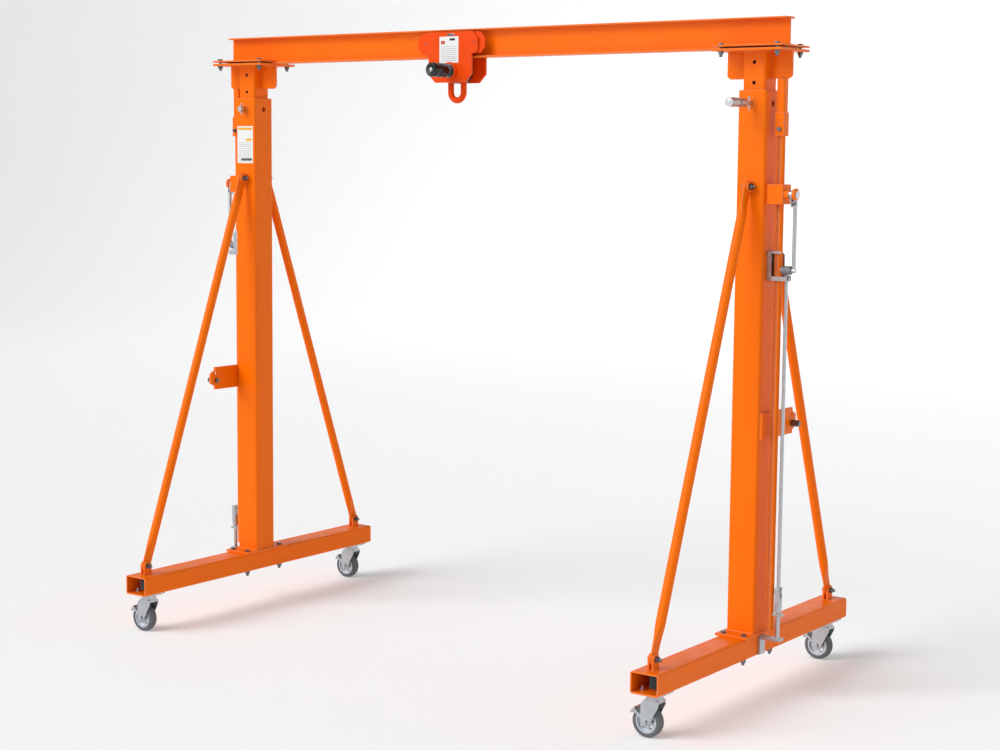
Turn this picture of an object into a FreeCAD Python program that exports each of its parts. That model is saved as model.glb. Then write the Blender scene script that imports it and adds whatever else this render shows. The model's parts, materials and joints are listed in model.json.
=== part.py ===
import FreeCAD, Part
import os
import re
import Sketcher

# Portable gantry crane: an I-beam on two telescopic legs with wheeled, braced feet.
#
# Frame, in millimetres: X runs along the beam, the right leg is at +X, the front is at -Y, Z is up
# from the floor, and the origin lies under the middle of the beam.
# The two legs are one design, turned half a turn about Z, so each is drawn in a frame of its own:
# its origin is on the column's axis, and its +x points outwards, to the side with the crank.

SIZES = {
    # Overall sizes
    "leg_span": 2190,           # distance between the axes of the two columns
    "beam_length": 2400,
    "base_length": 1300,
    "base_floor": 147,          # underside of the base tube, which is the height of a caster
    "column_top": 1984,         # top of the lower column
    "beam_seat": 2114,          # underside of the beam with the legs down
    # Base tube
    "base_wide": 100,
    "base_high": 70,
    "base_wall": 5,
    "tube_corner": 8,           # outer corner radius of the square tubes
    # Lower column and its foot
    "column_wide": 100,
    "column_wall": 5,
    "foot_wide": 118,
    "foot_long": 220,
    "foot_thick": 8,
    "foot_bolt_x": 37,
    "foot_bolt_y": 92,
    # Upper column, its holes and its cap
    "inner_wide": 80,
    "inner_wall": 5,
    "inner_foot": 1000,         # lower end of the upper column with the legs down
    "hole_step": 65,
    "lock_high": 1942,          # height of the lock pins
    "pin_radius": 6,
    "hole_clear": 0.5,          # radial clearance of bolts and pins in plain holes
    "fit": 0.05,                # radial clearance of a shaft in its bearing
    "gap": 0.3,                 # clearance between pieces that slide past each other
    "cap_long": 250,
    "cap_wide": 190,
    "cap_thick": 8,
    "gusset_long": 76,
    "gusset_high": 86,
    "gusset_thick": 8,
    "gusset_clip": 10,
    "clamp_thick": 6,
    "clamp_bolt_x": 100,
    "clamp_bolt_y": 79,
    "pad_high": 30,
    "pad_wide": 46,
    # I-beam
    "beam_high": 100,
    "flange_wide": 55,
    "flange_thick": 5.7,
    "web_thick": 4.1,
    # Braces
    "brace_radius": 16,
    "brace_wall": 2.5,
    "tab_thick": 8,
    "tab_long": 46,
    "lug_thick": 6,
    "brace_top_out": 17.5,      # brace bolt to the face of the column
    "brace_top_high": 1678,
    "brace_inset": 53,          # lower brace bolt to the end of the base tube
    "brace_foot_up": 33,        # brace bolt above the base tube
    # Jack: rack rod, gear housing and crank
    "jack_x": 82,               # axis of the rack rod from the column's axis
    "rod_radius": 13,
    "rod_foot": 235,
    "rack_wide": 10,
    "rack_deep": 3.5,
    "hanger_wide": 28,
    "hanger_wall": 3,
    "socket_wide": 32,
    "socket_foot": 1839,
    "socket_high": 75,
    "crank_high": 1655,
    "gear_radius": 8,
    "gear_wide": 9,
    "shaft_radius": 5,
    "housing_long": 60,
    "housing_high": 63,
    "housing_front": 36,        # from the rod's axis to the two faces of the housing
    "housing_back": 20,
    "stub_radius": 15.5,
    "stub_long": 16,
    "crank_arm_x": 146,
    "crank_reach": 241,         # radius of the grip's circle
    "crank_bar_radius": 6.5,
    "grip_radius": 14,
    "grip_long": 34,
    # Guide clamp, stay rod and foot latch
    "guide_foot": 1387,
    "guide_high": 87,
    "stay_x": 112,
    "stay_radius": 6,
    "stay_top": 1386,
    "stay_foot": 368,
    # Side bracket
    "bracket_foot": 865,
    "bracket_high": 86,
    "bracket_reach": 195,
    "bracket_thick": 10,
    # Casters, in a frame with its origin on the floor under the swivel
    "caster_inset": 65,         # swivel to the end of the base tube
    "wheel_radius": 50,
    "tyre_wide": 32,
    "tyre_thick": 13,
    "trail": 22,
    "axle_radius": 5,
    "caster_plate": 84,
    "caster_plate_thick": 5,
    "caster_bolt": 28,
    "race_radius": 27,
    "fork_thick": 3,
    "fork_gap": 40,
    # Trolley
    "trolley_x": -113,
    "side_gap": 76,             # between the inner faces of the side plates
    "side_thick": 8,
    "spindle_high": 2068,
    "spindle_radius": 10,
    "roller_radius": 25,
    "roller_wide": 16,
    "roller_x": 60,
    "roller_in": 10,            # inner face of a roller from the middle of the web
    "drum_radius": 43,
    "drum_wide": 16,
    "knob_radius": 25,
    "eye_radius": 28,           # middle of the bar, so the eye is 34 wide inside
    "eye_rod": 11,
    "eye_foot": 1955,
}

doc = FreeCAD.newDocument("gantry_crane")
sheet = doc.addObject("Spreadsheet::Sheet", "Sheet")
for row, (alias, value) in enumerate(SIZES.items(), start=1):
    sheet.set(f"A{row}", alias)
    sheet.set(f"B{row}", str(value))
    sheet.setAlias(f"B{row}", alias)
doc.recompute()

nodes = {}

ALONG = {
    "x": FreeCAD.Rotation(FreeCAD.Vector(0, 1, 0), 90),
    "y": FreeCAD.Rotation(FreeCAD.Vector(1, 0, 0), -90),
    "z": FreeCAD.Rotation(),
}


# ---------------------------------------------------------------- helpers

def formula(text):
    """An expression in which each size's name reads its own cell of the sheet."""
    return re.sub(r"[a-z_]+[a-z0-9_]*",
                  lambda word: "Sheet." + word[0] if word[0] in SIZES else word[0], str(text))


def bind(item, **sizes):
    """Bind properties of an object to formulas."""
    for name, text in sizes.items():
        item.setExpression(name, formula(text))
    return item


def place(item, at, rotation=None):
    """Put an object at a point given by three formulas."""
    if rotation is not None:
        item.Placement = FreeCAD.Placement(FreeCAD.Vector(), rotation)
    for axis, text in zip("xyz", at):
        item.setExpression(f"Placement.Base.{axis}", formula(text))
    return item


def block(name, size, at):
    """A box centred on at in x and y, with its underside at at's height."""
    item = doc.addObject("Part::Box", name)
    bind(item, Length=size[0], Width=size[1], Height=size[2])
    return place(item, (f"({at[0]}) - ({size[0]}) / 2", f"({at[1]}) - ({size[1]}) / 2", at[2]))


def rod(name, radius, length, at, along="z"):
    """A round bar that starts at at and runs along an axis."""
    item = doc.addObject("Part::Cylinder", name)
    bind(item, Radius=radius, Height=length)
    return place(item, at, ALONG[along])


def ring(name, radius, bar, at, along="z"):
    """A torus round an axis: its middle radius, and the radius of its bar."""
    item = doc.addObject("Part::Torus", name)
    bind(item, Radius1=radius, Radius2=bar)
    return place(item, at, ALONG[along])


def hexagon(name, radius, high, at, along="z"):
    """A hexagonal head or nut that starts at at and runs along an axis."""
    item = doc.addObject("Part::Prism", name)
    item.Polygon = 6
    bind(item, Circumradius=radius, Height=high)
    return place(item, at, ALONG[along])


def fuse(name, *pieces):
    item = doc.addObject("Part::MultiFuse", name)
    item.Shapes = list(pieces)
    return item


def cut(name, base, *tools):
    item = doc.addObject("Part::Cut", name)
    item.Base = base
    item.Tool = tools[0] if len(tools) == 1 else fuse(name + "_tools", *tools)
    return item


def group(name, *pieces):
    """Separate solids that share a node."""
    item = doc.addObject("Part::Compound", name)
    item.Links = list(pieces)
    return item


def node(label, item):
    """Name an object as a sub-part of the crane."""
    item.Label = label
    nodes[label] = item
    return item


def on_leg(item, side):
    """Move an object from the frame of a leg to the right (1) or left (-1) leg."""
    rotation = FreeCAD.Rotation(FreeCAD.Vector(0, 0, 1), 0 if side > 0 else 180)
    return place(item, (f"{side} * leg_span / 2", "0", "0"), rotation)


def origin_plane(body, role):
    return next(item for item in body.Origin.OriginFeatures if item.Role == role)


def outline(body, name, plane, points, circles=()):
    """A sketch: a closed outline of straight edges, and round holes as (x, y, radius)."""
    sketch = body.newObject("Sketcher::SketchObject", name)
    sketch.AttachmentSupport = [(origin_plane(body, plane), "")]
    sketch.MapMode = "FlatFace"
    corners = [FreeCAD.Vector(*(float(sheet.evalExpression(formula(text))) for text in point), 0)
               for point in points]
    for start, end in zip(corners, corners[1:] + corners[:1]):
        sketch.addGeometry(Part.LineSegment(start, end), False)
    count = len(points)
    for index in range(count):
        sketch.addConstraint(Sketcher.Constraint("Coincident", index, 2, (index + 1) % count, 1))
    for index, (corner, point) in enumerate(zip(corners, points)):
        for kind, value, text in zip(("DistanceX", "DistanceY"), corner, point):
            number = sketch.addConstraint(Sketcher.Constraint(kind, -1, 1, index, 1, value))
            sketch.setExpression(f"Constraints[{number}]", formula(text))
    for x, y, radius in circles:
        values = [float(sheet.evalExpression(formula(text))) for text in (x, y, radius)]
        centre = FreeCAD.Vector(values[0], values[1], 0)
        index = sketch.addGeometry(Part.Circle(centre, FreeCAD.Vector(0, 0, 1), values[2]), False)
        for kind, place_of, value, text in (("DistanceX", 3, values[0], x),
                                            ("DistanceY", 3, values[1], y)):
            number = sketch.addConstraint(Sketcher.Constraint(kind, -1, 1, index, place_of, value))
            sketch.setExpression(f"Constraints[{number}]", formula(text))
        number = sketch.addConstraint(Sketcher.Constraint("Radius", index, values[2]))
        sketch.setExpression(f"Constraints[{number}]", formula(radius))
    return sketch


def plate(name, plane, points, thick, at=("0", "0", "0"), circles=()):
    """A flat plate: its outline is drawn on a plane and padded along the plane's normal,
    which is +Z on XY_Plane, -Y on XZ_Plane and +X on YZ_Plane."""
    body = doc.addObject("PartDesign::Body", name)
    sketch = outline(body, name + "_outline", plane, points, circles)
    pad = body.newObject("PartDesign::Pad", name + "_pad")
    pad.Profile = sketch
    bind(pad, Length=thick)
    body.Tip = pad
    return place(body, at)


def turned(name, profile, at=("0", "0", "0"), along="z"):
    """A turned piece: a closed profile of (radius, distance along the axis) points."""
    body = doc.addObject("PartDesign::Body", name)
    sketch = outline(body, name + "_profile", "XZ_Plane", profile)
    turn = body.newObject("PartDesign::Revolution", name + "_turn")
    turn.Profile = sketch
    turn.ReferenceAxis = (sketch, ["V_Axis"])
    turn.Angle = 360
    body.Tip = turn
    return place(body, at, ALONG[along])


def square_tube(name, wide, deep, length, wall, at, along="z"):
    """A square tube with round outer corners, centred on its axis, which starts at at."""
    body = doc.addObject("PartDesign::Body", name)
    outside = body.newObject("PartDesign::AdditiveBox", name + "_outside")
    bind(outside, Length=wide, Width=deep, Height=length)
    place(outside, (f"-({wide}) / 2", f"-({deep}) / 2", "0"))
    doc.recompute()
    corners = [f"Edge{number}" for number, edge in enumerate(outside.Shape.Edges, start=1)
               if abs(edge.tangentAt(edge.FirstParameter).z) > 0.5]
    round_off = body.newObject("PartDesign::Fillet", name + "_corners")
    round_off.Base = (outside, corners)
    bind(round_off, Radius=f"min(tube_corner; 1.6 * ({wall}))")
    inside = body.newObject("PartDesign::SubtractiveBox", name + "_inside")
    bind(inside, Length=f"({wide}) - 2 * ({wall})", Width=f"({deep}) - 2 * ({wall})", Height=length)
    place(inside, (f"-({wide}) / 2 + ({wall})", f"-({deep}) / 2 + ({wall})", "0"))
    body.Tip = inside
    return place(body, at, ALONG[along])


def bolt(name, radius, at, length, along="z", nut=True):
    """A hexagon bolt. at is under its head, the shank runs along the axis, and the nut, with
    its washer, closes on the far side of what is clamped, length away."""
    axis = "xyz".index(along)

    def shifted(distance):
        return [f"({text}) + ({distance})" if index == axis else text for index, text in enumerate(at)]

    pieces = [hexagon(name + "_head", 1.9 * radius, 1.3 * radius, shifted(-1.3 * radius), along),
              rod(name + "_shank", radius, f"({length}) + {3.6 * radius if nut else 0}", at, along)]
    if nut:
        pieces += [rod(name + "_washer", 2 * radius, 0.35 * radius, shifted(length), along),
                   hexagon(name + "_nut", 1.9 * radius, 1.6 * radius,
                           shifted(f"({length}) + {0.35 * radius}"), along)]
    return fuse(name, *pieces)


# ---------------------------------------------------------------- values worked out from the sheet

BASE_TOP = "(base_floor + base_high)"
FOOT_TOP = f"({BASE_TOP} + foot_thick)"
BRACE_FOOT = f"({BASE_TOP} + brace_foot_up)"
BRACE_TOP_Y = "(column_wide / 2 + brace_top_out)"
BRACE_FOOT_Y = "(base_length / 2 - brace_inset)"
CASTER_Y = "(base_length / 2 - caster_inset)"
LUG_SEAT = "(tab_thick / 2 + gap)"
FACE = "(column_wide / 2)"
CAP_TOP = "beam_seat"
CAP_FOOT = "(beam_seat - cap_thick)"
GEAR_Y = "(-(rod_radius - rack_deep) - gear_radius - gap)"
BOLT = 5
CASTER_BOLT = 4
PEDAL_TILT = 39
SIDES = (("left", -1), ("right", 1))
ENDS = (("front", -1), ("rear", 1))


# ---------------------------------------------------------------- base

def lug(name, at, up, along_z, reach, width):
    """One ear of a clevis: a block that ends in a round eye about the bolt, square to x."""
    root = block(name + "_root", ("lug_thick", width, up), at) if along_z else \
        block(name + "_root", ("lug_thick", up, width), at)
    return fuse(name, root, rod(name + "_eye", f"({width}) / 2", "lug_thick", reach, "x"))


def base_tube(side_name, side):
    name = side_name + "_base_tube"
    tube = square_tube(name + "_tube", "base_wide", "base_high", "base_length", "base_wall",
                       ("0", "-base_length / 2", "base_floor + base_high / 2"), "y")
    ears = []
    holes = []
    for end_name, end in ENDS:
        y = f"{end} * {BRACE_FOOT_Y}"
        for ear_name, x in (("a", f"-{LUG_SEAT} - lug_thick"), ("b", LUG_SEAT)):
            ears.append(lug(f"{name}_{end_name}_ear_{ear_name}",
                            (f"{x} + lug_thick / 2", y, BASE_TOP), "brace_foot_up", True,
                            (x, y, BRACE_FOOT), "36"))
        holes.append(rod(f"{name}_{end_name}_eye", f"{BOLT} + hole_clear", "base_wide",
                         ("-base_wide / 2", y, BRACE_FOOT), "x"))
        for x_sign in (-1, 1):
            holes.append(rod(f"{name}_{end_name}_foot_hole_{x_sign}", f"{BOLT} + hole_clear",
                             "base_high + 2", (f"{x_sign} * foot_bolt_x", f"{end} * foot_bolt_y",
                                               "base_floor - 1")))
            for y_sign in (-1, 1):
                holes.append(rod(f"{name}_{end_name}_caster_hole_{x_sign}_{y_sign}",
                                 f"{CASTER_BOLT} + hole_clear", "base_wall + 2",
                                 (f"{x_sign} * caster_bolt", f"{end} * {CASTER_Y} + {y_sign} * caster_bolt",
                                  "base_floor - 1")))
    whole = cut(name, fuse(name + "_weldment", tube, *ears), *holes)
    return node(name, on_leg(whole, side))


# ---------------------------------------------------------------- lower columns

def side_bracket(name):
    """The plate that stands out from the crank side of the column, with its notched outer edge."""
    low, high = "bracket_foot", "bracket_foot + bracket_high"
    points = (("-42", low), ("bracket_reach - 24", low), ("bracket_reach - 24", f"{low} + 12"),
              ("bracket_reach", f"{low} + 24"), ("bracket_reach", f"{high} - 24"),
              ("bracket_reach - 24", f"{high} - 12"), ("bracket_reach - 24", high), ("-42", high))
    holes = (("bracket_reach - 29", f"{low} + 34", f"{BOLT} + hole_clear"),
             ("bracket_reach - 29", f"{low} + 63", "7"))
    return plate(name, "YZ_Plane", points, "bracket_thick", (FACE, "0", "0"), holes)


def lower_column(side_name, side):
    """Square tube, foot plate, brace lugs, side bracket and the boss of the lock pin."""
    name = side_name + "_lower_column"
    front = -side
    tube = square_tube(name + "_tube", "column_wide", "column_wide", f"column_top - {FOOT_TOP}",
                       "column_wall", ("0", "0", FOOT_TOP))
    foot = block(name + "_foot", ("foot_wide", "foot_long", "foot_thick"), ("0", "0", BASE_TOP))
    boss = rod(name + "_boss", "16", "4",
               ("0", f"{FACE}" if front > 0 else f"-{FACE} - 4", "lock_high"), "y")
    pieces = [tube, foot, boss, side_bracket(name + "_bracket")]
    holes = [rod(name + "_pin_hole", "pin_radius + fit", "column_wall + 6",
                 ("0", f"{FACE} - column_wall - 1" if front > 0 else f"-{FACE} - 5", "lock_high"), "y"),
             rod(name + "_side_hole", "10", "column_wide + 2", (f"-{FACE} - 1", "0", "lock_high"), "x")]
    for end_name, end in ENDS:
        middle = f"{end} * ({FACE} + brace_top_out / 2)"
        y = f"{end} * {BRACE_TOP_Y}"
        for ear_name, x in (("a", f"-{LUG_SEAT} - lug_thick"), ("b", LUG_SEAT)):
            pieces.append(lug(f"{name}_{end_name}_ear_{ear_name}",
                              (f"{x} + lug_thick / 2", middle, "brace_top_high - 17"),
                              "brace_top_out", False, (x, y, "brace_top_high"), "34"))
        holes.append(rod(f"{name}_{end_name}_eye", f"{BOLT} + hole_clear", "column_wide",
                         ("-column_wide / 2", y, "brace_top_high"), "x"))
        for x_sign in (-1, 1):
            holes.append(rod(f"{name}_{end_name}_foot_hole_{x_sign}", f"{BOLT} + hole_clear",
                             "foot_thick + 2",
                             (f"{x_sign} * foot_bolt_x", f"{end} * foot_bolt_y", f"{BASE_TOP} - 1")))
    whole = cut(name, fuse(name + "_weldment", *pieces), *holes)
    return node(name, on_leg(whole, side))


def foot_bolts():
    """The bolts that hold each column's foot plate, right through the base tube."""
    bolts = []
    for side_name, side in SIDES:
        for x_sign in (-1, 1):
            for y_sign in (-1, 1):
                x = f"{side} * leg_span / 2 + {x_sign} * foot_bolt_x"
                name = f"foot_bolt_{side_name}_{x_sign}_{y_sign}"
                bolts.append(bolt(name, BOLT, (x, f"{y_sign} * foot_bolt_y", "0"),
                                  "base_high + foot_thick", "z"))
                flip = FreeCAD.Rotation(FreeCAD.Vector(1, 0, 0), 180)
                place(bolts[-1], ("0", "0", FOOT_TOP), flip)
    return node("column_foot_bolts", group("column_foot_bolts_group", *bolts))


def guide_pads(label, at, inside):
    """Four plastic pads round each upper column, fixed to one tube and sliding on the other."""
    thick = f"({FACE} - column_wall - inner_wide / 2 - gap)"
    seat = f"(inner_wide / 2 + {thick} / 2)" if inside else f"({FACE} - column_wall - {thick} / 2)"
    pads = []
    for side_name, side in SIDES:
        middle = f"{side} * leg_span / 2"
        for sign in (-1, 1):
            pads.append(block(f"{label}_{side_name}_x_{sign}", (thick, "pad_wide", "pad_high"),
                              (f"{middle} + {sign} * {seat}", "0", at)))
            pads.append(block(f"{label}_{side_name}_y_{sign}", ("pad_wide", thick, "pad_high"),
                              (middle, f"{sign} * {seat}", at)))
    return node(label, group(label + "_group", *pads))


def end_blocks():
    """The black plastic blocks that hang under the roof of the base tubes, near their ends."""
    blocks = []
    for side_name, side in SIDES:
        for end_name, end in ENDS:
            name = f"end_block_{side_name}_{end_name}"
            solid = block(name, ("34", "30", "base_high - 2 * base_wall - 16"),
                          (f"leg_span / 2 * {side} + base_wide / 2 - base_wall - 17",
                           f"{end} * (base_length / 2 - 25)", "base_floor + base_wall + 16"))
            blocks.append(solid)
    return node("end_blocks", group("end_blocks_group", *blocks))


# ---------------------------------------------------------------- braces

def brace(side_name, side, end_name, end):
    """A round tube with flat eyes, from the base tube up to the column."""
    name = f"{side_name}_{end_name}_brace"
    rise = f"(brace_top_high - {BRACE_FOOT})"
    run = f"({BRACE_FOOT_Y} - {BRACE_TOP_Y})"
    length = f"sqrt({rise}^2 + {run}^2)"
    tube = cut(name + "_tube",
               rod(name + "_outside", "brace_radius", f"{length} - 2 * tab_long", ("0", "0", "tab_long")),
               rod(name + "_inside", "brace_radius - brace_wall", f"{length} - 2 * tab_long - 12",
                   ("0", "0", "tab_long + 6")))
    tabs = []
    for tab_name, start, eye in (("low", "0", "0"), ("high", f"{length} - tab_long", length)):
        tabs.append(block(f"{name}_{tab_name}_tab", ("tab_thick", "2 * brace_radius", "tab_long"),
                          ("0", "0", start)))
        tabs.append(rod(f"{name}_{tab_name}_eye", "brace_radius", "tab_thick",
                        ("-tab_thick / 2", "0", eye), "x"))
    holes = [rod(f"{name}_{hole_name}_hole", f"{BOLT} + hole_clear", "tab_thick + 2",
                 ("-tab_thick / 2 - 1", "0", eye), "x") for hole_name, eye in (("low", "0"), ("high", length))]
    whole = cut(name, fuse(name + "_weldment", tube, *tabs), *holes)
    leaning = FreeCAD.Rotation(FreeCAD.Vector(end, 0, 0), 20)
    place(whole, (f"{side} * leg_span / 2", f"{end} * {BRACE_FOOT_Y}", BRACE_FOOT), leaning)
    whole.setExpression("Placement.Rotation.Angle", formula(f"atan({run} / {rise})"))
    return node(name, whole)


def brace_bolts():
    """The bolts in the eyes of the braces, and the bolt in each side bracket."""
    bolts = []
    grip = f"(2 * {LUG_SEAT} + 2 * lug_thick)"
    for side_name, side in SIDES:
        middle = f"{side} * leg_span / 2"
        for end_name, end in ENDS:
            for level, y, z in (("low", BRACE_FOOT_Y, BRACE_FOOT), ("high", BRACE_TOP_Y, "brace_top_high")):
                bolts.append(bolt(f"brace_bolt_{side_name}_{end_name}_{level}", BOLT,
                                  (f"{middle} - {grip} / 2", f"{end} * {y}", z), grip, "x"))
        pin = fuse(f"bracket_bolt_{side_name}",
                   rod(f"bracket_spacer_{side_name}", "11", "22",
                       (f"{FACE} + bracket_thick", "bracket_reach - 29", "bracket_foot + 34"), "x"),
                   hexagon(f"bracket_head_{side_name}", "10", "7",
                           (f"{FACE} + bracket_thick + 22", "bracket_reach - 29", "bracket_foot + 34"), "x"),
                   rod(f"bracket_shank_{side_name}", BOLT, "bracket_thick + 14",
                       (f"{FACE} - 6", "bracket_reach - 29", "bracket_foot + 34"), "x"),
                   hexagon(f"bracket_nut_{side_name}", "9.5", "7",
                           (f"{FACE} - 7", "bracket_reach - 29", "bracket_foot + 34"), "x"))
        bolts.append(on_leg(pin, side))
    return node("brace_bolts", group("brace_bolts_group", *bolts))


# ---------------------------------------------------------------- jack

def gear_housing(side_name, side):
    """The gear case on the column: a bore for the rack rod and a bearing for the crank."""
    name = side_name + "_gear_housing"
    low = "(crank_high - housing_high / 2)"
    case = block(name + "_case", ("housing_long", "housing_front + housing_back", "housing_high"),
                 (f"{FACE} + housing_long / 2", "(housing_back - housing_front) / 2", low))
    stub = rod(name + "_stub", "stub_radius", "stub_long", (f"{FACE} + housing_long", GEAR_Y, "crank_high"), "x")
    whole = cut(name, fuse(name + "_cast", case, stub),
                rod(name + "_rod_bore", "rod_radius + gap", "housing_high + 2", ("jack_x", "0", f"{low} - 1")),
                rod(name + "_gear_pocket", "gear_radius + 0.6", "gear_wide + 1",
                    ("jack_x - gear_wide / 2 - 0.5", GEAR_Y, "crank_high"), "x"),
                rod(name + "_bearing", "shaft_radius + fit", "housing_long + stub_long",
                    (f"{FACE} + 6", GEAR_Y, "crank_high"), "x"))
    return node(name, on_leg(whole, side))


def jack_rod(side_name, side):
    """The round rack rod that hangs from the upper column and runs through the gear housing."""
    name = side_name + "_jack_rod"
    length = "(socket_foot + socket_high - 9 - rod_foot)"
    bar = rod(name + "_bar", "rod_radius", length, ("jack_x", "0", "rod_foot"))
    rack = block(name + "_rack", ("rack_wide", "rack_deep + 1", "socket_foot - rod_foot + 1"),
                 ("jack_x", "-rod_radius + (rack_deep - 1) / 2", "rod_foot - 1"))
    hole = rod(name + "_hole", f"{CASTER_BOLT} + hole_clear", "socket_wide",
               ("jack_x", "-socket_wide / 2", "socket_foot + 22"), "y")
    return node(name, on_leg(cut(name, bar, rack, hole), side))


def crank(side_name, side):
    """Pinion, shaft, hub, arm and the pin of the grip, turned from one forging."""
    name = side_name + "_crank"
    end_x = f"({FACE} + housing_long + stub_long + gap)"
    grip_z = "crank_high - crank_reach"
    pieces = [
        rod(name + "_pinion", "gear_radius", "gear_wide", ("jack_x - gear_wide / 2", GEAR_Y, "crank_high"), "x"),
        rod(name + "_shaft", "shaft_radius", f"crank_arm_x - {FACE} - 7", (f"{FACE} + 7", GEAR_Y, "crank_high"), "x"),
        rod(name + "_hub", "13", f"crank_arm_x + crank_bar_radius + 1 - {end_x}", (end_x, GEAR_Y, "crank_high"), "x"),
        rod(name + "_arm", "crank_bar_radius", "crank_reach", ("crank_arm_x", GEAR_Y, grip_z)),
        rod(name + "_elbow", "crank_bar_radius + 0.5", "2 * crank_bar_radius + 1",
            ("crank_arm_x - crank_bar_radius - 0.5", GEAR_Y, grip_z), "x"),
        rod(name + "_pin", "6", "grip_long + 10", ("crank_arm_x - grip_long - 10", GEAR_Y, grip_z), "x"),
        rod(name + "_pin_head", "10", "2", ("crank_arm_x - crank_bar_radius - grip_long - 3.1", GEAR_Y, grip_z), "x"),
    ]
    return node(name, on_leg(fuse(name, *pieces), side))


def grip(side_name, side):
    name = side_name + "_crank_grip"
    start = "crank_arm_x - crank_bar_radius - grip_long - 0.5"
    whole = turned(name, (("6 + fit", "0"), ("grip_radius - 3", "0"), ("grip_radius", "4"),
                          ("grip_radius", "grip_long - 4.3"), ("grip_radius - 3", "grip_long - 0.3"),
                          ("6 + fit", "grip_long - 0.3")), along="x")
    holder = group(name + "_place", place(whole, (start, GEAR_Y, "crank_high - crank_reach"), ALONG["x"]))
    return node(name, on_leg(holder, side))


def rod_guides():
    """The guide of each rack rod: a weld lug, a back plate and a front plate that bars the rod's way out
    only above and below, so that the rod shows between its bars."""
    solids = []
    for side_name, side in SIDES:
        name = f"rod_guide_{side_name}"
        weld = block(name + "_lug", ("14", "2 * (rod_radius + gap)", "guide_high"),
                     (f"{FACE} + 7", "0", "guide_foot"))
        pieces = [weld]
        edge = "jack_x + rod_radius + 2"
        nose = "stay_x + 8"
        foot, top = "guide_foot", "guide_foot + guide_high"
        back = ((FACE, f"{foot} - 8"), (nose, f"{foot} - 8"), (nose, f"{foot} + 8"), (edge, f"{foot} + 12"),
                (edge, f"{top} - 14"), (f"{edge} - 12", top), (FACE, top))
        front = ((FACE, f"{foot} - 8"), (nose, f"{foot} - 8"), (nose, f"{foot} + 6"), ("66", f"{foot} + 6"),
                 ("62", f"{top} - 8"), (edge, f"{top} - 8"), (edge, top), (FACE, top))
        for strap_name, points, start in (("front", front, "-rod_radius - gap"),
                                          ("rear", back, "rod_radius + gap + 4")):
            pieces.append(plate(f"{name}_{strap_name}", "XZ_Plane", points, "4", ("0", start, "0")))
        for level, height in (("low", "guide_foot + 12"), ("high", "guide_foot + guide_high - 12")):
            pieces.append(bolt(f"{name}_{level}_bolt", CASTER_BOLT,
                               (f"{FACE} + 8", "-rod_radius - gap - 4", height),
                               "2 * (rod_radius + gap + 4)", "y"))
        pieces.append(rod(f"{name}_stay_pin", "4", "2 * (rod_radius + gap + 4)",
                          ("stay_x", "-rod_radius - gap - 4", "stay_top"), "y"))
        solids.append(on_leg(fuse(name, *pieces), side))
    return node("rod_guides", group("rod_guides_group", *solids))


def stay_rod():
    """The thin round rod with an eye at each end, hung beside the rack rod of the right leg."""
    eye = "(4 + gap + stay_radius / 2)"
    pieces = [
        rod("stay_bar", "stay_radius", f"stay_top - stay_foot - 2 * {eye}", ("stay_x", "0", f"stay_foot + {eye}")),
        ring("stay_top_eye", "4 + gap + stay_radius / 1.5", "stay_radius / 1.5", ("stay_x", "0", "stay_top"), "y"),
        ring("stay_low_eye", "4 + gap + stay_radius / 1.5", "stay_radius / 1.5", ("stay_x", "0", "stay_foot"), "y"),
    ]
    whole = fuse("stay_rod_weldment", *pieces)
    return node("stay_rod", on_leg(whole, 1))


def foot_latches():
    """The latch at the foot of each leg: an arm on the base tube, a post with a sleeve, and a fork."""
    solids = []
    for side_name, side in SIDES:
        name = f"foot_latch_{side_name}"
        arm = fuse(name + "_arm",
                   block(name + "_shelf", ("stay_x + 14 - base_wide / 2", "32", "8"),
                         ("(stay_x + 14 + base_wide / 2) / 2", "0", "base_floor + base_high - 14")),
                   block(name + "_cheek", ("8", "36", "base_high - 8"),
                         ("base_wide / 2 + 4", "0", "base_floor + 4")))
        post = rod(name + "_post", "7", "104", ("stay_x", "0", "base_floor + base_high - 6"))
        sleeve = rod(name + "_sleeve", "12", "40", ("stay_x", "0", "300"))
        collar = block(name + "_collar", ("34", "16", "7"), ("stay_x", "0", "286"))
        fork = block(name + "_fork", ("16", "22", "66"), ("stay_x", "0", "stay_foot - 54"))
        slot = block(name + "_slot", ("26", "13", "60"), ("stay_x", "0", "stay_foot - 22"))
        pin = rod(name + "_pin", "4", "22", ("stay_x", "-11", "stay_foot"), "y")
        clip = ring(name + "_clip", "9", "1.6", ("stay_x", "-12", "stay_foot"), "y")
        head = cut(name + "_head", fork, slot)
        solids.append(on_leg(fuse(name, arm, post, sleeve, collar, head, pin, clip), side))
    return node("foot_latches", group("foot_latches_group", *solids))


# ---------------------------------------------------------------- upper columns and beam

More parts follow.
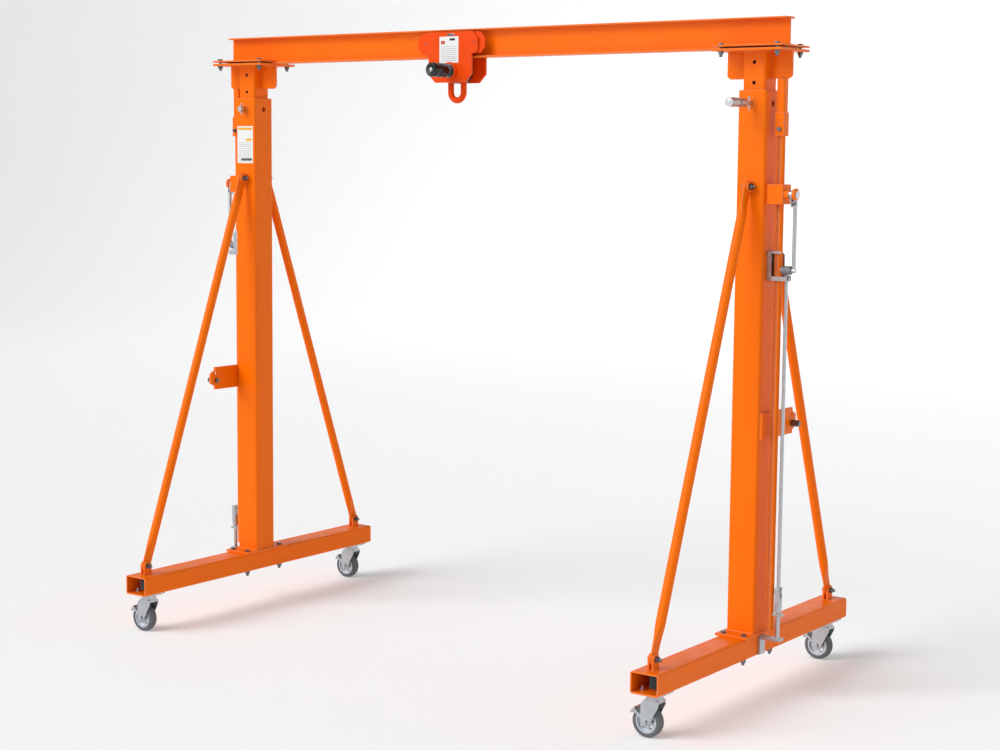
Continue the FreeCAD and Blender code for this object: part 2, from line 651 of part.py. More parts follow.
def head(side_name, side):
    """Upper column, cap plate, gussets and the hanger of the rack rod, welded together."""
    name = side_name + "_upper_column"
    tube = square_tube(name + "_tube", "inner_wide", "inner_wide", f"{CAP_FOOT} - inner_foot",
                       "inner_wall", ("0", "0", "inner_foot"))
    cap = block(name + "_cap", ("cap_long", "cap_wide", "cap_thick"), ("0", "0", CAP_FOOT))
    gussets = []
    for sign in (-1, 1):
        start, end = f"{sign} * (inner_wide / 2 - 1)", f"{sign} * (inner_wide / 2 + gusset_long)"
        clipped = f"{sign} * (inner_wide / 2 + gusset_long - gusset_clip)"
        low = f"{CAP_FOOT} - gusset_high"
        points = ((start, low), (clipped, low), (end, f"{low} + gusset_clip"), (end, CAP_FOOT), (start, CAP_FOOT))
        gussets.append(plate(f"{name}_gusset_{sign}", "XZ_Plane", points, "gusset_thick",
                             ("0", "gusset_thick / 2", "0")))
    hanger = square_tube(name + "_hanger", "hanger_wide", "hanger_wide",
                         f"{CAP_FOOT} - gusset_high - socket_foot - socket_high", "hanger_wall",
                         ("jack_x", "0", "socket_foot + socket_high"))
    socket = cut(name + "_socket",
                 block(name + "_socket_block", ("socket_wide", "socket_wide", "socket_high"),
                       ("jack_x", "0", "socket_foot")),
                 rod(name + "_socket_bore", "rod_radius + fit", "socket_high - 8", ("jack_x", "0", "socket_foot - 1")))
    holes = [rod(f"{name}_socket_hole", f"{CASTER_BOLT} + hole_clear", "socket_wide + 2",
                 ("jack_x", "-socket_wide / 2 - 1", "socket_foot + 22"), "y")]
    for x_sign in (-1, 1):
        for y_sign in (-1, 1):
            holes.append(rod(f"{name}_clamp_hole_{x_sign}_{y_sign}", f"{BOLT} + hole_clear", "cap_thick + 2",
                             (f"{x_sign} * clamp_bolt_x", f"{y_sign} * clamp_bolt_y", f"{CAP_FOOT} - 1")))
    for level in range(-2, 7):
        holes.append(rod(f"{name}_lock_hole_{level + 2}", "pin_radius + hole_clear", "inner_wide + 2",
                         ("0", "-inner_wide / 2 - 1", f"lock_high - {level} * hole_step"), "y"))
    whole = cut(name, fuse(name + "_weldment", tube, cap, hanger, socket, *gussets), *holes)
    return node(name, on_leg(whole, side))


def clamp_plates():
    """The plates that hold the beam's lower flange down on each cap."""
    wide = "(cap_wide / 2 - 8)"
    plates = []
    for side_name, side in SIDES:
        for end_name, end in ENDS:
            name = f"clamp_plate_{side_name}_{end_name}"
            solid = block(name + "_plate", ("cap_long", wide, "clamp_thick"),
                          (f"{side} * leg_span / 2", f"{end} * (8 + {wide} / 2)", f"{CAP_TOP} + flange_thick"))
            holes = [rod(f"{name}_hole_{sign}", f"{BOLT} + hole_clear", "clamp_thick + 2",
                         (f"{side} * leg_span / 2 + {sign} * clamp_bolt_x", f"{end} * clamp_bolt_y",
                          f"{CAP_TOP} + flange_thick - 1")) for sign in (-1, 1)]
            plates.append(cut(name, solid, *holes))
    return node("beam_clamp_plates", group("beam_clamp_plates_group", *plates))


def clamp_bolts():
    """The bolts through the clamp plates and caps, and the bolt of each rack rod."""
    bolts = []
    flip = FreeCAD.Rotation(FreeCAD.Vector(1, 0, 0), 180)
    for side_name, side in SIDES:
        middle = f"{side} * leg_span / 2"
        for x_sign in (-1, 1):
            for y_sign in (-1, 1):
                item = bolt(f"clamp_bolt_{side_name}_{x_sign}_{y_sign}", BOLT,
                            (f"{middle} + {x_sign} * clamp_bolt_x", f"{y_sign} * clamp_bolt_y", "0"),
                            "clamp_thick + flange_thick + cap_thick")
                bolts.append(place(item, ("0", "0", f"{CAP_TOP} + flange_thick + clamp_thick"), flip))
        rod_bolt = bolt(f"rod_bolt_{side_name}", CASTER_BOLT,
                        ("jack_x", "-socket_wide / 2", "socket_foot + 22"), "socket_wide", "y")
        bolts.append(on_leg(rod_bolt, side))
    return node("beam_clamp_bolts", group("beam_clamp_bolts_group", *bolts))


def beam():
    """The rolled I-section, as long as beam_length."""
    half, web, top = "flange_wide / 2", "web_thick / 2", "beam_high"
    profile = [("-" + half, "0"), (half, "0"), (half, "flange_thick"), (web, "flange_thick"),
               (web, f"{top} - flange_thick"), (half, f"{top} - flange_thick"), (half, top),
               ("-" + half, top), ("-" + half, f"{top} - flange_thick"), ("-" + web, f"{top} - flange_thick"),
               ("-" + web, "flange_thick"), ("-" + half, "flange_thick")]
    body = plate("beam_body", "YZ_Plane", profile, "beam_length", ("-beam_length / 2", "0", "beam_seat"))
    return node("beam", body)


# ---------------------------------------------------------------- lock pins

def lock_pin(side_name, side, long_handle):
    """The pull pin of a leg, drawn out of the upper column, on the front face of the lower column."""
    name = side_name + "_lock_pin"
    travel = "((column_wide - inner_wide) / 2 + 0.5)"
    tip = f"(-{FACE} + column_wall + 0.5)"
    cross = f"(-{FACE} - 4 - {travel} - 4.5)"
    x = f"{side} * leg_span / 2"
    pieces = [rod(name + "_cross", "3", "44", (x, cross, "lock_high - 22"))]
    if long_handle:
        pieces += [rod(name + "_shaft", "pin_radius", "60", (x, f"{tip} - 60", "lock_high"), "y"),
                   rod(name + "_collar", "14.5", "42", (x, f"{tip} - 96", "lock_high"), "y"),
                   rod(name + "_neck", "9", "6", (x, f"{tip} - 102", "lock_high"), "y"),
                   rod(name + "_handle", "14.5", "56", (x, f"{tip} - 158", "lock_high"), "y")]
    else:
        pieces += [rod(name + "_shaft", "pin_radius", "30", (x, f"{tip} - 30", "lock_high"), "y"),
                   rod(name + "_end", "10.5", "15.5", (x, f"{tip} - 36", "lock_high"), "y")]
    return node(name, fuse(name, *pieces))


# ---------------------------------------------------------------- casters

PLATE_FOOT = "(base_floor - caster_plate_thick)"
FORK_TOP = f"({PLATE_FOOT} - 14)"


def caster_plates():
    """The top plate of each caster with its upper race and king pin."""
    solids = []
    for side_name, side in SIDES:
        for end_name, end in ENDS:
            name = f"caster_plate_{side_name}_{end_name}"
            pieces = [block(name + "_plate", ("caster_plate", "caster_plate", "caster_plate_thick"),
                            ("0", "0", PLATE_FOOT)),
                      rod(name + "_race", "race_radius", "14 - gap", ("0", "0", f"{FORK_TOP} + gap")),
                      rod(name + "_king", "6", "26", ("0", "0", f"{FORK_TOP} - 13")),
                      rod(name + "_king_nut", "10", "6", ("0", "0", f"{FORK_TOP} - 13"))]
            holes = [rod(f"{name}_hole_{x_sign}_{y_sign}", f"{CASTER_BOLT} + hole_clear",
                         "caster_plate_thick + 2", (f"{x_sign} * caster_bolt", f"{y_sign} * caster_bolt",
                                                    f"{PLATE_FOOT} - 1"))
                     for x_sign in (-1, 1) for y_sign in (-1, 1)]
            whole = cut(name, fuse(name + "_whole", *pieces), *holes)
            solids.append(place(whole, (f"{side} * leg_span / 2", f"{end} * {CASTER_Y}", "0")))
    return node("caster_plates", group("caster_plates_group", *solids))


def caster_bolts():
    """The small bolts that hold the caster plates to the floor of the base tubes."""
    bolts = []
    for side_name, side in SIDES:
        for end_name, end in ENDS:
            for x_sign in (-1, 1):
                for y_sign in (-1, 1):
                    x = f"{side} * leg_span / 2 + {x_sign} * caster_bolt"
                    y = f"{end} * {CASTER_Y} + {y_sign} * caster_bolt"
                    bolts.append(bolt(f"caster_bolt_{side_name}_{end_name}_{x_sign}_{y_sign}", CASTER_BOLT,
                                      (x, y, PLATE_FOOT), "caster_plate_thick + base_wall"))
    return node("caster_bolts", group("caster_bolts_group", *bolts))


def caster(prefix, x, y):
    """One swivel caster under its plate: fork with axle, wheel, tyre and brake pedal."""
    at = (x, y, "0")
    axle_z = "wheel_radius"
    fork_name = prefix + "_caster_fork"
    cheeks = []
    for cheek_name, start in (("front", "-fork_gap / 2"), ("rear", "fork_gap / 2 + fork_thick")):
        points = (("26", f"{FORK_TOP} - 7"), ("26", f"{FORK_TOP} - 22"), ("-trail + 13", f"{axle_z} - 12"),
                  ("-trail - 13", f"{axle_z} - 12"), ("-trail - 15", f"{axle_z} + 14"),
                  ("-trail - 15", f"{FORK_TOP} - 22"), ("-26", f"{FORK_TOP} - 7"))
        cheeks.append(plate(f"{fork_name}_{cheek_name}", "XZ_Plane", points, "fork_thick", ("0", start, "0"),
                            (("-trail", axle_z, "axle_radius + fit"),)))
    crown = cut(fork_name + "_crown",
                fuse(fork_name + "_crown_whole",
                     rod(fork_name + "_lower_race", "race_radius", "9", ("0", "0", f"{FORK_TOP} - 9")),
                     block(fork_name + "_bridge", ("52", "fork_gap + 2 * fork_thick", "7"),
                           ("0", "0", f"{FORK_TOP} - 14"))),
                rod(fork_name + "_king_bore", "6 + fit", "30", ("0", "0", f"{FORK_TOP} - 20")),
                rod(fork_name + "_nut_space", "10.5", "7", ("0", "0", f"{FORK_TOP} - 14")))
    axle = bolt(fork_name + "_axle", 5, ("-trail", "-fork_gap / 2 - fork_thick", axle_z),
                "fork_gap + 2 * fork_thick", "y")
    fork = fuse(fork_name + "_whole", crown, *cheeks)
    node(fork_name, place(group(fork_name, fork, axle), at))

    rim = "(wheel_radius - tyre_thick)"
    half = "tyre_wide / 2"
    hub = turned(prefix + "_hub_disc",
                 (("axle_radius + fit", f"-{half} - 0.5"), ("11", f"-{half} - 0.5"), ("11", "-5"), (f"{rim} - 6", "-5"),
                  (f"{rim} - 6", f"-{half} + 2"), (rim, f"-{half} + 2"), (rim, f"{half} - 2"),
                  (f"{rim} - 6", f"{half} - 2"), (f"{rim} - 6", "5"), ("11", "5"), ("11", f"{half} + 0.5"),
                  ("axle_radius + fit", f"{half} + 0.5")), ("-trail", "0", axle_z), "y")
    windows = []
    for number in range(5):
        turn = 72 * number + 18
        windows.append(rod(f"{prefix}_hub_window_{number}", "6.5", "20",
                           (f"-trail + 21 * cos({turn})", "-10", f"{axle_z} + 21 * sin({turn})"), "y"))
    node(prefix + "_caster_hub", place(cut(prefix + "_hub", hub, *windows), at))

    tyre = turned(prefix + "_tyre_ring",
                  ((rim, f"-{half} + 2"), (f"{rim} + 3", f"-{half}"), ("wheel_radius - 3", f"-{half}"),
                   ("wheel_radius", f"-{half} + 5"), ("wheel_radius", f"{half} - 5"), ("wheel_radius - 3", half),
                   (f"{rim} + 3", half), (rim, f"{half} - 2")), ("-trail", "0", axle_z), "y")
    node(prefix + "_caster_tyre", place(group(prefix + "_tyre", tyre), at))

    brake_pedal(prefix + "_brake_pedal", x, y)


def brake_pedal(name, x, y):
    """A stirrup that turns on the axle: two arms beside the wheel and a tread past the tyre.
    It is drawn along x from the axle, and tilted up to PEDAL_TILT above the level."""
    reach = "(wheel_radius + 7)"
    arm = f"(fork_gap / 2 - gap - (tyre_wide / 2 + 0.5) - gap)"
    arms = []
    for arm_name, start in (("front", "-fork_gap / 2 + gap"), ("rear", f"fork_gap / 2 - gap - {arm}")):
        arms.append(rod(f"{name}_{arm_name}_eye", "10", arm, ("0", start, "0"), "y"))
        arms.append(block(f"{name}_{arm_name}_arm", (reach, arm, "9"),
                          (f"{reach} / 2", f"{start} + {arm} / 2", "-4.5")))
    tread = block(name + "_tread", ("6", "fork_gap - 2 * gap", "22"), ("wheel_radius + 5", "0", "-7"))
    bore = rod(name + "_bore", "axle_radius + fit", "fork_gap", ("0", "-fork_gap / 2", "0"), "y")
    whole = cut(name, fuse(name + "_stirrup", tread, *arms), bore)
    tilt = FreeCAD.Rotation(FreeCAD.Vector(0, 1, 0), 180 + PEDAL_TILT)
    node(name, place(whole, (f"{x} - trail", y, "wheel_radius"), tilt))


# ---------------------------------------------------------------- trolley

def side_plate(label, end):
    """A side plate of the trolley: eight-cornered above, narrower below, with its stub axles."""
    half = []
    for x, z in (("65", "spindle_high - 41"), ("95", "spindle_high - 11"), ("95", "spindle_high + 60"),
                 ("108", "spindle_high + 60"), ("121", "spindle_high + 73"), ("121", "spindle_high + 114"),
                 ("98", "spindle_high + 137")):
        half.append((x, z))
    points = half + [("-" + x, z) for x, z in reversed(half)]
    outer = f"{end} * (side_gap / 2 + side_thick / 2) + side_thick / 2"
    sheet_metal = plate(label + "_plate", "XZ_Plane", points, "side_thick", ("0", outer, "0"),
                        (("0", "spindle_high", "spindle_radius + hole_clear"),))
    guard_points = (("-127", "spindle_high + 60"), ("127", "spindle_high + 60"), ("147", "spindle_high + 80"),
                    ("147", "spindle_high + 115"), ("127", "spindle_high + 135"), ("-127", "spindle_high + 135"),
                    ("-147", "spindle_high + 115"), ("-147", "spindle_high + 80"))
    guard = plate(label + "_guard", "XZ_Plane", guard_points, "3",
                  ("0", f"{end} * (side_gap / 2 - 1.5) + 1.5", "0"))
    pieces = [sheet_metal, guard]
    for sign in (-1, 1):
        start = "-side_gap / 2" if end < 0 else "roller_in - 1"
        pieces.append(rod(f"{label}_axle_{sign}", "6", "side_gap / 2 - roller_in + 1",
                          (f"{sign} * roller_x", start, "beam_seat + flange_thick + gap + roller_radius"), "y"))
        pieces.append(rod(f"{label}_shoulder_{sign}", "9", "side_gap / 2 - roller_in - roller_wide - gap",
                          (f"{sign} * roller_x", "-side_gap / 2" if end < 0 else "roller_in + roller_wide + gap",
                           "beam_seat + flange_thick + gap + roller_radius"), "y"))
    return node(label, place(fuse(label, *pieces), ("trolley_x", "0", "0")))


def rollers():
    for end_name, end in ENDS:
        for way_name, sign in SIDES:
            name = f"{end_name}_{way_name}_roller"
            start = "-roller_in - roller_wide" if end < 0 else "roller_in"
            wheel = turned(name + "_ring",
                           (("6 + fit", "0"), ("roller_radius - 2", "0"), ("roller_radius", "2"),
                            ("roller_radius", "roller_wide - 2"), ("roller_radius - 2", "roller_wide"),
                            ("6 + fit", "roller_wide")),
                           (f"{sign} * roller_x", start, "beam_seat + flange_thick + gap + roller_radius"), "y")
            node(name, place(group(name, wheel), ("trolley_x", "0", "0")))


def spindle():
    """The load spindle across the trolley, with its front screw and rear nut."""
    name = "load_spindle"
    outer = "(side_gap / 2 + side_thick)"
    pieces = [rod(name + "_bar", "spindle_radius", f"2 * {outer} + 30 + 22",
                  ("0", f"-{outer} - 30", "spindle_high"), "y"),
              hexagon(name + "_nut", "17", "14", ("0", f"{outer} + 3.3", "spindle_high"), "y")]
    node(name, place(fuse(name, *pieces), ("trolley_x", "0", "0")))

    knob = turned("knob_grip", (("0", "0"), ("knob_radius - 4", "0"), ("knob_radius", "4"), ("knob_radius", "74"),
                                ("knob_radius - 5", "79"), ("11", "80"), ("11", "58"), ("0", "58")),
                  ("0", f"-{outer} - 110", "spindle_high"), "y")
    node("trolley_knob", place(group("trolley_knob_group", knob), ("trolley_x", "0", "0")))


def trolley_rings():
    """The collar on the front plate, the rear washer and the two drums beside the eye."""
    outer = "(side_gap / 2 + side_thick)"
    bore = "spindle_radius + fit"
    solids = [turned("trolley_collar", ((bore, "0"), ("26", "0"), ("30", "3"), ("30", "8"), (bore, "8")),
                     ("0", f"-{outer} - 8", "spindle_high"), "y"),
              turned("trolley_washer", ((bore, "0"), ("22", "0"), ("22", "3"), (bore, "3")),
                     ("0", outer, "spindle_high"), "y")]
    for end_name, end in ENDS:
        start = f"{end} * (side_gap / 2 - drum_wide / 2) - drum_wide / 2"
        solids.append(turned(f"trolley_drum_{end_name}",
                             ((bore, "0"), ("drum_radius - 2", "0"), ("drum_radius", "2"),
                              ("drum_radius", "drum_wide - 2"), ("drum_radius - 2", "drum_wide"),
                              (bore, "drum_wide")), ("0", start, "spindle_high"), "y"))
    return node("trolley_rings", place(group("trolley_rings_group", *solids), ("trolley_x", "0", "0")))


def lifting_eye():
    """The eye that swings on the load spindle: a hub, two legs and half a ring as its bow."""
    name = "lifting_eye"
    bow_z = "(eye_foot + eye_rod + eye_radius)"
    bow = ring(name + "_bow", "eye_radius", "eye_rod", ("0", "0", bow_z), "y")
    bow.Angle3 = 180
    pieces = [bow, rod(name + "_hub", "eye_radius", "2 * eye_rod + 4", ("0", "-eye_rod - 2", "spindle_high"), "y")]
    for leg_name, x in (("left", "-eye_radius"), ("right", "eye_radius")):
        pieces.append(rod(f"{name}_{leg_name}_leg", "eye_rod", f"spindle_high - {bow_z}", (x, "0", bow_z)))
    whole = cut(name, fuse(name + "_forging", *pieces),
                rod(name + "_bore", "spindle_radius + fit", "40", ("0", "-20", "spindle_high"), "y"))
    return node(name, place(whole, ("trolley_x", "0", "0")))


# ---------------------------------------------------------------- the crane

for side_name, side in SIDES:
    base_tube(side_name, side)
    lower_column(side_name, side)
    gear_housing(side_name, side)
    jack_rod(side_name, side)
    crank(side_name, side)
    grip(side_name, side)
    head(side_name, side)
    for end_name, end in ENDS:
        brace(side_name, side, end_name, end)
        caster(f"{side_name}_{end_name}", f"{side} * leg_span / 2", f"{end} * {CASTER_Y}")
lock_pin("left", -1, False)
lock_pin("right", 1, True)
foot_bolts()
brace_bolts()
end_blocks()
rod_guides()
stay_rod()
foot_latches()
guide_pads("top_guide_pads", "column_top - pad_high", False)
guide_pads("bottom_guide_pads", "inner_foot", True)
caster_plates()
caster_bolts()
beam()
clamp_plates()
clamp_bolts()
side_plate("trolley_front_plate", -1)
side_plate("trolley_rear_plate", 1)
rollers()
spindle()
trolley_rings()
lifting_eye()
doc.recompute()

for item in doc.Objects:
    if "Invalid" in item.State or "Error" in item.State:
        raise RuntimeError(f"{item.Name} failed: {item.State}")
for label, item in nodes.items():
    if item.Shape.isNull() or not item.Shape.isValid():
        raise RuntimeError(f"{label} has no valid shape")

os.makedirs("parts", exist_ok=True)
for label, item in nodes.items():
    item.Shape.exportStep(f"parts/{label}.step")
print(len(nodes), "nodes,", sum(len(item.Shape.Solids) for item in nodes.values()), "solids")
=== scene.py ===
# %% [markdown]
# # Portable gantry crane
# A workshop gantry: an I-beam on two legs that are cranked up and down, on braced feet with casters,
# with a trolley on the beam. The structure comes in as finished parts. This script gives every part
# its surface and adds what welding, knurling, pressing and printing leave on the real crane.

# %% Load the crane
import json
import bmesh
import bpy
import numpy as np
from math import cos, pi, radians, sin
from mathutils import Matrix, Vector


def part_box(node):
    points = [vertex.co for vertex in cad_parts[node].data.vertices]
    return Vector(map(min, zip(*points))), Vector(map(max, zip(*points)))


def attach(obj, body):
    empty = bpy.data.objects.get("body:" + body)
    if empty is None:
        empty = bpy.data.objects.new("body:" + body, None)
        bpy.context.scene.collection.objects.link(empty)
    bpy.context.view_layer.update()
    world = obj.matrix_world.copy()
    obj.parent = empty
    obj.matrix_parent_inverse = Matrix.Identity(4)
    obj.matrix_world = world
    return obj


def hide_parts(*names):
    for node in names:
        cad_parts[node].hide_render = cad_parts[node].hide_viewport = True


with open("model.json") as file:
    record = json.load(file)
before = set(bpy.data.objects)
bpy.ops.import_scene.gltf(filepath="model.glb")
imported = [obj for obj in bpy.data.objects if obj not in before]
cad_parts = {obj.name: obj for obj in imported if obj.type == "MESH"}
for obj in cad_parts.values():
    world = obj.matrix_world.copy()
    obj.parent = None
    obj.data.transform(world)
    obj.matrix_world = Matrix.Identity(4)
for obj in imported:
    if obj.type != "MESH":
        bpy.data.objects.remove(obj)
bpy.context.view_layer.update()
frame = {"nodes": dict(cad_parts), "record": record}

SIDES = (("left", -1), ("right", 1))     # along X
ENDS = (("front", -1), ("rear", 1))      # along Y


def box(node):
    """The low and the high corner of a finished part, in metres."""
    low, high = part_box(node)
    return np.array(low), np.array(high)


def middle(node):
    low, high = box(node)
    return (low + high) / 2


# %% [markdown]
# ## Units and colours
# Everything is in metres, so a size in millimetres is written mm(12). A paint maker's colour is an
# sRGB hex value, and the shader needs it linear, so one function turns it.

# %% Units and colours
def mm(value):
    return value / 1000.0


def linear(hex_colour):
    """A hex sRGB colour as linear red, green, blue and alpha."""
    channels = np.array([int(hex_colour[index:index + 2], 16) for index in (1, 3, 5)]) / 255.0
    low = channels / 12.92
    high = ((channels + 0.055) / 1.055) ** 2.4
    return [*np.where(channels <= 0.04045, low, high).tolist(), 1.0]


def per_metre(size_mm):
    """The scale of a texture whose features are size_mm across."""
    return 1000.0 / size_mm


# %% [markdown]
# ## Nodes
# A material is a small graph. One function adds a node of any kind, sets its properties, and fills
# its sockets with plain values or with links. A second one builds what all the finishes share: a
# colour, a gloss and a relief that each vary with their own noise.

# %% One function for every node
NOISE_LOW, NOISE_HIGH = 0.3, 0.7    # noise seldom leaves this range
BEVEL_SAMPLES = 4


def add_node(tree, kind, inputs=None, **settings):
    """Add a node: settings are its properties, inputs are values or output sockets."""
    node = tree.nodes.new(kind)
    for name, value in settings.items():
        setattr(node, name, value)
    for name, value in (inputs or {}).items():
        if isinstance(value, bpy.types.NodeSocket):
            tree.links.new(value, node.inputs[name])
        else:
            node.inputs[name].default_value = value
    return node


def noisy_finish(name, layers, colours=(), gloss=(), relief=(), **constants):
    """A material with one shader. layers names up to three noises, each by the size of its features
    in mm, its detail and how strongly the fine detail shows. The colour noise blends two colours.
    The gloss noise takes the roughness from one value to another. The relief noise is bump with a
    depth in mm and a strength, over edges that catch the light as if rounded by so many mm.
    constants go straight onto the shader's own sockets."""
    material = bpy.data.materials.new(name)
    material.use_nodes = True
    tree = material.node_tree
    tree.nodes.clear()
    shader = add_node(tree, "ShaderNodeBsdfPrincipled", constants)
    add_node(tree, "ShaderNodeOutputMaterial", {"Surface": shader.outputs["BSDF"]})
    place = add_node(tree, "ShaderNodeTexCoord").outputs["Object"]
    noise = {}
    for use, (size_mm, detail, fine) in layers.items():
        noise[use] = add_node(tree, "ShaderNodeTexNoise", {
            "Vector": place, "Scale": per_metre(size_mm), "Detail": detail, "Roughness": fine,
        }).outputs["Fac"]
    if "colour" in noise:
        first, second = colours
        blend = add_node(tree, "ShaderNodeMix", {
            "Factor": noise["colour"], "A": linear(first), "B": linear(second),
        }, data_type="RGBA")
        tree.links.new(blend.outputs["Result"], shader.inputs["Base Color"])
    if "gloss" in noise:
        smooth, rough = gloss
        span = add_node(tree, "ShaderNodeMapRange", {
            "Value": noise["gloss"], "From Min": NOISE_LOW, "From Max": NOISE_HIGH,
            "To Min": smooth, "To Max": rough,
        })
        tree.links.new(span.outputs["Result"], shader.inputs["Roughness"])
    if "relief" in noise:
        depth_mm, strength, edge_mm = relief
        rounded = add_node(tree, "ShaderNodeBevel", {"Radius": mm(edge_mm)}, samples=BEVEL_SAMPLES)
        bump = add_node(tree, "ShaderNodeBump", {
            "Height": noise["relief"], "Distance": mm(depth_mm), "Strength": strength,
            "Normal": rounded.outputs["Normal"],
        })
        tree.links.new(bump.outputs["Normal"], shader.inputs["Normal"])
    return material, tree, shader


# %% [markdown]
# ## Powder coat
# The frame is steel with a baked orange powder coat. Powder flows as it bakes and leaves a faint
# orange-peel skin, a little glossier where it is thick. Real peel is about 2 mm across, which is too
# fine for a view of the whole crane, so it is drawn at 5 mm. Every edge is painted paler, a painted
# highlight where rounded corners would catch the light. The trolley has its own redder paint.

# %% Powder-coated steel
HIGHLIGHT_START, HIGHLIGHT_FULL = 0.99, 0.85    # dot product of the two normals where the painted edge highlight starts and is full
EDGE_HIGHLIGHT_SHARE = 0.55                       # share of the painted highlight colour on an edge


def painted_edge_highlight(tree, edge_mm):
    """How much painted edge highlight a point gets, from 0 on a flat face to the share set above on an
    edge: how far a normal rounded over edge_mm leans from the face's own, by the dot product of the two."""
    rounded = add_node(tree, "ShaderNodeBevel", {"Radius": mm(edge_mm)}, samples=BEVEL_SAMPLES)
    own = add_node(tree, "ShaderNodeNewGeometry")
    lean = add_node(tree, "ShaderNodeVectorMath", operation="DOT_PRODUCT")
    tree.links.new(rounded.outputs["Normal"], lean.inputs[0])
    tree.links.new(own.outputs["True Normal"], lean.inputs[1])
    return add_node(tree, "ShaderNodeMapRange", {
        "Value": lean.outputs["Value"], "From Min": HIGHLIGHT_START, "From Max": HIGHLIGHT_FULL,
        "To Min": 0.0, "To Max": EDGE_HIGHLIGHT_SHARE,
    }).outputs["Result"]


def powder_coat(name, bright, deep, edge, edge_mm=4.0):
    """Broad clouds of colour, patchy gloss, orange peel, and the edge colour as a painted highlight on
    edges.
    """
    material, tree, shader = noisy_finish(
        name, {"colour": (260, 4.0, 0.5), "gloss": (60, 5.0, 0.65), "relief": (5, 2.0, 0.5)},
        (bright, deep), (0.30, 0.46), (0.25, 0.35, edge_mm),
        Metallic=0.0, IOR=1.36, **{"Specular IOR Level": 0.2})
    coat = shader.inputs["Base Color"].links[0].from_socket
    # The edge colour goes on as a painted highlight wherever the rounded normal leans away from the face.
    edge_highlighted = add_node(tree, "ShaderNodeMix", {
        "Factor": painted_edge_highlight(tree, edge_mm), "A": coat, "B": linear(edge),
    }, data_type="RGBA")
    tree.links.new(edge_highlighted.outputs["Result"], shader.inputs["Base Color"])
    return material


# The last colour of each paint is its painted edge highlight.
orange_coat = powder_coat("powder_coated_steel_orange", "#F67100", "#F06B00", "#FFAE80")
trolley_paint = powder_coat("spray_painted_steel_red_orange", "#EE4C02", "#E64400", "#F88450", 2.0)


# %% [markdown]
# ## Zinc, black steel and aluminium
# Pins, casters and the crank are zinc plated: pale, slightly blue, and clouded by the plating bath.
# The bolts are blackened steel, dark but still a metal, so they keep a bright edge. The wheel centres
# are die-cast aluminium, whose skin is matt and a little uneven.

# %% Metals
def bare_metal(name, light, dark, smooth, rough, grain_mm, depth_mm, edge_mm=0.6):
    """Clouds five grains wide, and one fine grain for both the gloss and the relief."""
    grain = (grain_mm, 3.0, 0.5)
    return noisy_finish(
        name, {"colour": (grain_mm * 5, 4.0, 0.6), "gloss": grain, "relief": grain},
        (light, dark), (smooth, rough), (depth_mm, 0.3, edge_mm), Metallic=1.0)[0]


zinc_plate = bare_metal("zinc_plated_steel", "#CDD0D3", "#A9AEB3", 0.32, 0.5, 3, 0.06)
black_steel = bare_metal("black_oxide_steel", "#85878C", "#505257", 0.28, 0.46, 2, 0.05)
cast_aluminium = bare_metal("die_cast_aluminium", "#D9DEE4", "#BFC6CE", 0.42, 0.60, 2, 0.12, 1.0)
dark_zinc = bare_metal("passivated_zinc_grip", "#8D9196", "#6F7378", 0.38, 0.55, 2, 0.08)


# %% [markdown]
# ## Rubber and plastics
# The tyres are grey thermoplastic rubber, matt and dusty. The stop rollers of the trolley are black
# moulded plastic with a soft gloss, and the pads in the columns are plain nylon.

# %% Rubber and plastics
def moulded(name, light, dark, smooth, rough, grain_mm, depth_mm, edge_mm=0.8):
    """Clouds twelve grains wide, and one soft grain for both the gloss and the relief."""
    grain = (grain_mm, 2.0, 0.5)
    return noisy_finish(
        name, {"colour": (grain_mm * 12, 4.0, 0.6), "gloss": grain, "relief": grain},
        (light, dark), (smooth, rough), (depth_mm, 0.4, edge_mm), Metallic=0.0, IOR=1.49)[0]


tyre_rubber = moulded("grey_thermoplastic_rubber_tyre", "#64676B", "#54575B", 0.55, 0.75, 2, 0.15)
black_plastic = moulded("black_moulded_plastic", "#121214", "#0A0A0C", 0.16, 0.30, 2, 0.05, 1.5)
nylon = moulded("natural_nylon", "#DAD7CC", "#CFCBBE", 0.45, 0.6, 3, 0.05)


# %% [markdown]
# ## Surfaces for the finished parts
# Every finished part names the slot its material goes in, and each slot has one of the finishes above.

# %% Give each finished part its surface
FINISHES = {
    "orange_paint": orange_coat, "red_orange_paint": trolley_paint, "zinc": zinc_plate,
    "dark_steel": black_steel, "grey_grip": dark_zinc, "black_plastic": black_plastic,
    "nylon": nylon, "cast_wheel": cast_aluminium, "tyre_rubber": tyre_rubber,
}
for part in frame["record"]["subparts"]:
    mesh = frame["nodes"][part["node"]].data
    mesh.materials.clear()
    mesh.materials.append(FINISHES[part["material_slot"]])


# %% [markdown]
# ## Surfaces from numpy
# New pieces are grids of points: rows run along the piece and columns run round it. surface() joins
# a grid into a mesh, closes its ends with one face each, and names its body and its finish. Many
# pieces are turned on a lathe, so a profile carried round an axis has its own function.

# %% Turn a grid into a piece
def surface(name, grid, body, slot, round_rows=False, sharp=35):
    """grid is rows x columns x 3 in metres. Columns close on themselves, and so do rows if asked."""
    rows, columns, _ = grid.shape
    index = np.arange(rows * columns).reshape(rows, columns)
    below = index if round_rows else index[:-1]
    above = np.roll(index, -1, axis=0) if round_rows else index[1:]
    quads = np.stack([below, np.roll(below, -1, axis=1), np.roll(above, -1, axis=1), above], axis=-1)
    faces = quads.reshape(-1, 4).tolist()
    if not round_rows:
        faces += [index[0, ::-1].tolist(), index[-1].tolist()]
    return piece_from(name, grid.reshape(-1, 3), faces, body, FINISHES[slot], sharp)


